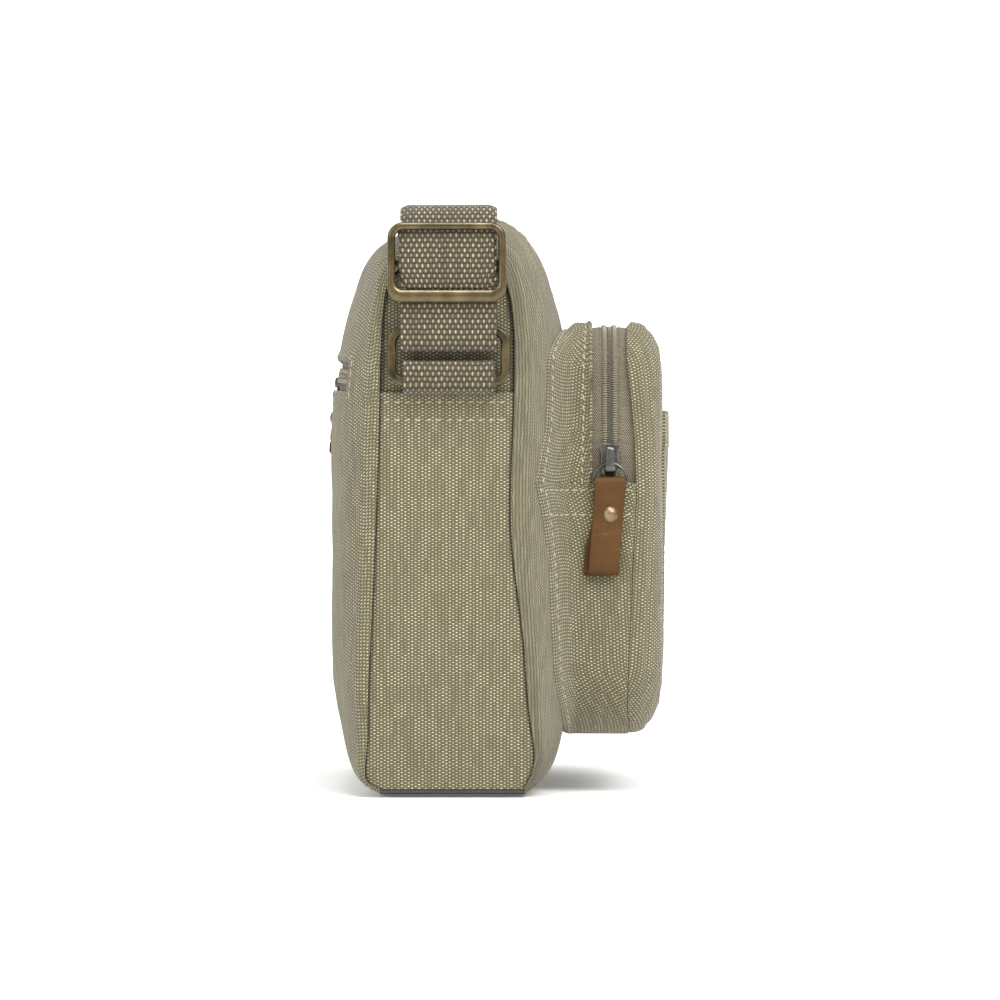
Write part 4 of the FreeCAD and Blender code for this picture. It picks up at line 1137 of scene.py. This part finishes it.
crest = addSheet("webbingCrest", 40, 36, crestAt, ((-141, 2.5, 214), (-1, 0, 0)), thick=1.0, uvOf=crestCloth)
finishPiece(crest, "adjuster", webbing)

for side, word in ((-1, "Left"), (1, "Right")):
    inner, outer = half + 0.8, half + 7.2
    tabPoints = [(inner, 161.0), (inner, 173.7), (outer, 173.7), (outer, 163.6), (inner + 1.6, 161.6)]
    tabPath = roundedPath([(side * x, z) for x, z in tabPoints], [3.15, 3.15, 1.8], 0.6)
    addRibbon("ringTab" + word, tabPath, 36.2, 1.5, "bag", ("ring_tab_" + word.lower(),))

keeperLoop = roundedPath([(148, -17.3), (157.6, -17.3), (157.6, 22.3), (138.2, 22.3), (138.2, -17.3),
                          (148, -17.3)], [1.2] * 4, 0.8)
keeperRun = chordKnots(keeperLoop)


def keeperAt(u, v):
    x, y = placeAlong(keeperLoop, keeperRun, u * keeperRun[-1])
    return np.array([x, y, 135.0 + 8.0 * v])


keeper = addSheet("strapKeeper", 120, 6, keeperAt, ((158, 2, 139), (1, 0, 0)), thick=0.9, closed=True,
                  offset=0.0)
finishPiece(keeper, "bag", elastic, ("strap_keeper",))
print("strap made")


# sliders: u runs to the closed end, w away from the cloth

sliders = {
    "pocket": {"at": (-102.5, -62.5, 135.2), "u": (0, 0, 1), "w": (-1, 0, 0)},
    "back": {"at": (62.0, 46.9, 169.3), "u": (-1, 0, 0), "w": (0, 0.9916, 0.1294)},
    "main": {"at": (84.0, -21.1, 228.085), "u": (1, 0, 0), "w": (0, -0.508, 0.8614)},
}
sliderHalf = [(-6.3, 1.5), (-5.7, 2.7), (-4.4, 3.4), (3.0, 3.5), (4.2, 4.1), (6.3, 4.2)]


def addSlider(word, place):
    at, u, w = (np.array(place[k], float) for k in ("at", "u", "w"))
    across = np.cross(w, u)

    def plate(low, squeeze):
        def point(a, b):
            q = -6.3 + 12.6 * a
            reach = float(np.interp(q, *zip(*sliderHalf))) - squeeze
            dish = 0.25 * smooth(0.3, 1.0, abs(2 * b - 1))
            return at + u * q + across * reach * (2 * b - 1) + w * (low - dish)
        return point
    arch = roundedPath([(5.2, 2.8), (5.0, 6.2), (-4.6, 7.0), (-5.6, 3.2)], [1.6, 2.4], 0.35)
    run, step = chordKnots(arch), headings(arch)

    def archPoint(a, b):
        (x, z), (dx, dz) = placeAlong(arch, run, a * run[-1]), placeAlong(step, run, a * run[-1])
        c, d = squaredTurn(b, 0.7)
        wide = 1.75 + 0.45 * smooth(0.0, -4.5, x)
        return at + across * wide * c + u * (x - dz * 0.55 * d) + w * (z + dx * 0.55 * d)
    facing = (tuple(at + w * 3), tuple(w))
    name = word + "Slider"
    pieces = [addSheet(name + "Plate", 24, 10, plate(3.35, 0.0), facing, thick=1.4),
              addSheet(name + "Sole", 12, 6, plate(-1.4, 0.8), facing, thick=0.9),
              addSheet(name + "Bridge", 50, 16, archPoint, (tuple(at + w * 7), tuple(w)), closed=True)]
    for piece in pieces[:2]:
        softenEdges(piece, 0.3, 50)
    for piece in pieces:
        replaced = (word + "_slider",) if piece is pieces[0] else ()
        finishPiece(piece, word + "_slider", gunmetal, replaced)


for word, place in sliders.items():
    addSlider(word, place)
print("sliders made")


# leather pulls

pulls = {  # bar is the middle of the ring's bar; each pull hangs at the side, at the back, or lies flat
    "pocket": {"bar": (-107.9, -62.5, 125.9), "length": 39.2, "width": 13.2, "leather": 1.6, "swell": 0.3,
               "turn": "side", "tilt": 0.0, "lean": 0.078, "slip": 1.9},
    "back": {"bar": (67.6, 52.915, 163.232), "length": 26.0, "width": 9.6, "leather": 1.1, "swell": 0.0,
             "turn": "back", "tilt": 4.0, "lean": 0.0, "slip": 0.0},
    "main": {"bar": (74.7, -23.733, 232.547), "length": 26.0, "width": 9.6, "leather": 1.1, "swell": 0.0,
             "turn": "flat", "tilt": 30.534, "lean": 0.0, "slip": 0.0},
}


def pullPath(piece):
    wire = 0.6
    fold = wire + 0.12 + piece["leather"] / 2
    low = -piece["length"] + fold + piece["leather"] / 2
    rivet = -0.33 * piece["length"]
    out = fold + piece["swell"]
    pinch = piece["leather"] / 2 + 0.1
    points = [(fold, rivet + 4.5), (fold, fold), (-fold, fold), (-fold, rivet + 5.0), (-pinch, rivet + 3.4),
              (-pinch, rivet - 3.4), (-out, low + 9.0), (-out, low), (out, low), (out, low + 9.0),
              (pinch, rivet - 3.4), (pinch, rivet + 2.6)]
    radii = [fold - 0.01, fold - 0.01, 0.8, 0.8, 4.0, 4.0, out - 0.2, out - 0.2, 4.0, 4.0]
    return roundedPath(points, radii, 0.5)


def turned(p, piece):
    turn, tilt = piece["turn"], math.radians(piece["tilt"])
    x, y, z = {"side": p, "back": (p[1], -p[0], p[2]), "flat": (p[2], p[1], -p[0])}[turn]
    return np.array([x, y * math.cos(tilt) - z * math.sin(tilt), y * math.sin(tilt) + z * math.cos(tilt)])


def addPull(word, piece):
    path = pullPath(piece)
    run = chordKnots(path)
    bar = np.array(piece["bar"])

    def at(u, v):
        x, z = placeAlong(path, run, u * run[-1])
        w = (v - 0.5) * (piece["width"] - 0.8) * (1 + 0.03 * smooth(-8.0, -2.0, z))
        w += piece["lean"] * max(-z - 2.0, 0.0)
        w += piece["slip"] * smooth(0.2, 1.2, x) * smooth(-16.0, -27.0, z)
        x += 0.25 * ripple(w, z, x, 9.0, 4.0) + 0.35 * hill(z + 19.5 + 0.2 * w, 0, 0.9)
        return turned((x, w, z), piece) + bar
    facing = (tuple(turned((-3.0, 0, -20.0), piece) + bar), tuple(turned((-1.0, 0, 0), piece)))
    tab = addSheet(word + "PullLeather", int(run[-1] / 0.8), 14, at, facing, thick=piece["leather"],
                   offset=0.0)
    softenEdges(tab, 0.35, 60)
    finishPiece(tab, word + "_pull", leather, (word + "_pull_leather",))


for word, piece in pulls.items():
    addPull(word, piece)
print("pulls made")


# CAD nodes that are already the right shape keep it and take a finish

finishes = {"strap_ring_left": brass, "strap_ring_right": brass, "base_board": board, "lining": board,
            "back_pocket_pouch": board}
for word in pulls:
    finishes[word + "_pull_rivet"] = bronze
    finishes[word + "_pull_ring"] = gunmetal
for node, material in finishes.items():
    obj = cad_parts[node]
    obj.data.materials.clear()
    obj.data.materials.append(material)


# floor, light and camera

studio = {
    "world": 0.75,
    "lights": {"keyLight": ((-1.6, -1.0, 1.7), 1.2, 50.0), "fillLight": ((-1.4, 1.6, 0.9), 1.2, 14.0),
               "topLight": ((-0.7, 0.0, 1.5), 0.5, 13.0)},  # place, size and power
    "aim": (0, 0, 0.12), "camera": (-2.33, -0.018, 0.1188), "lens": 198.0,
}


def addScreen(name, size, place, tilt, finish, shade, roughness, glow):
    bpy.ops.mesh.primitive_plane_add(size=size, location=place, rotation=(0, math.radians(tilt), 0))
    screen = bpy.context.object
    screen.name = name
    material, _, _ = newMaterial(finish, roughness, Base_Color=(shade, shade, shade, 1),
                                 Emission_Color=(1, 1, 1, 1), Emission_Strength=glow)
    screen.data.materials.append(material)


def addStudio():
    addScreen("studioFloor", 6.0, (0, 0, -0.0004), 0, "paleFloor", 0.92, 0.9, 0.12)
    addScreen("studioBackdrop", 4.0, (2.6, 0, 1.2), -90, "whiteBackdrop", 0.8, 1.0, 1.0)
    world = bpy.data.worlds.new("studioSky")
    bpy.context.scene.world = world
    world.use_nodes = True
    world.node_tree.nodes["Background"].inputs[0].default_value = (1, 1, 1, 1)
    world.node_tree.nodes["Background"].inputs[1].default_value = studio["world"]
    for name, (place, size, power) in studio["lights"].items():
        bpy.ops.object.light_add(type="AREA", location=place)
        light = bpy.context.object
        light.name = name
        light.data.size = size
        light.data.energy = power
        light.rotation_euler = (Vector(studio["aim"]) - Vector(place)).to_track_quat("-Z", "Y").to_euler()


def addCamera():
    bpy.ops.object.camera_add(location=studio["camera"], rotation=(math.radians(90), 0, math.radians(-90)))
    camera = bpy.context.object
    camera.name = "endCamera"
    camera.data.lens = studio["lens"]
    camera.data.sensor_width = 36.0
    camera.data.clip_end = 30
    bpy.context.scene.camera = camera


addStudio()
addCamera()
bpy.context.scene.view_settings.view_transform = "Standard"
print("studio ready")
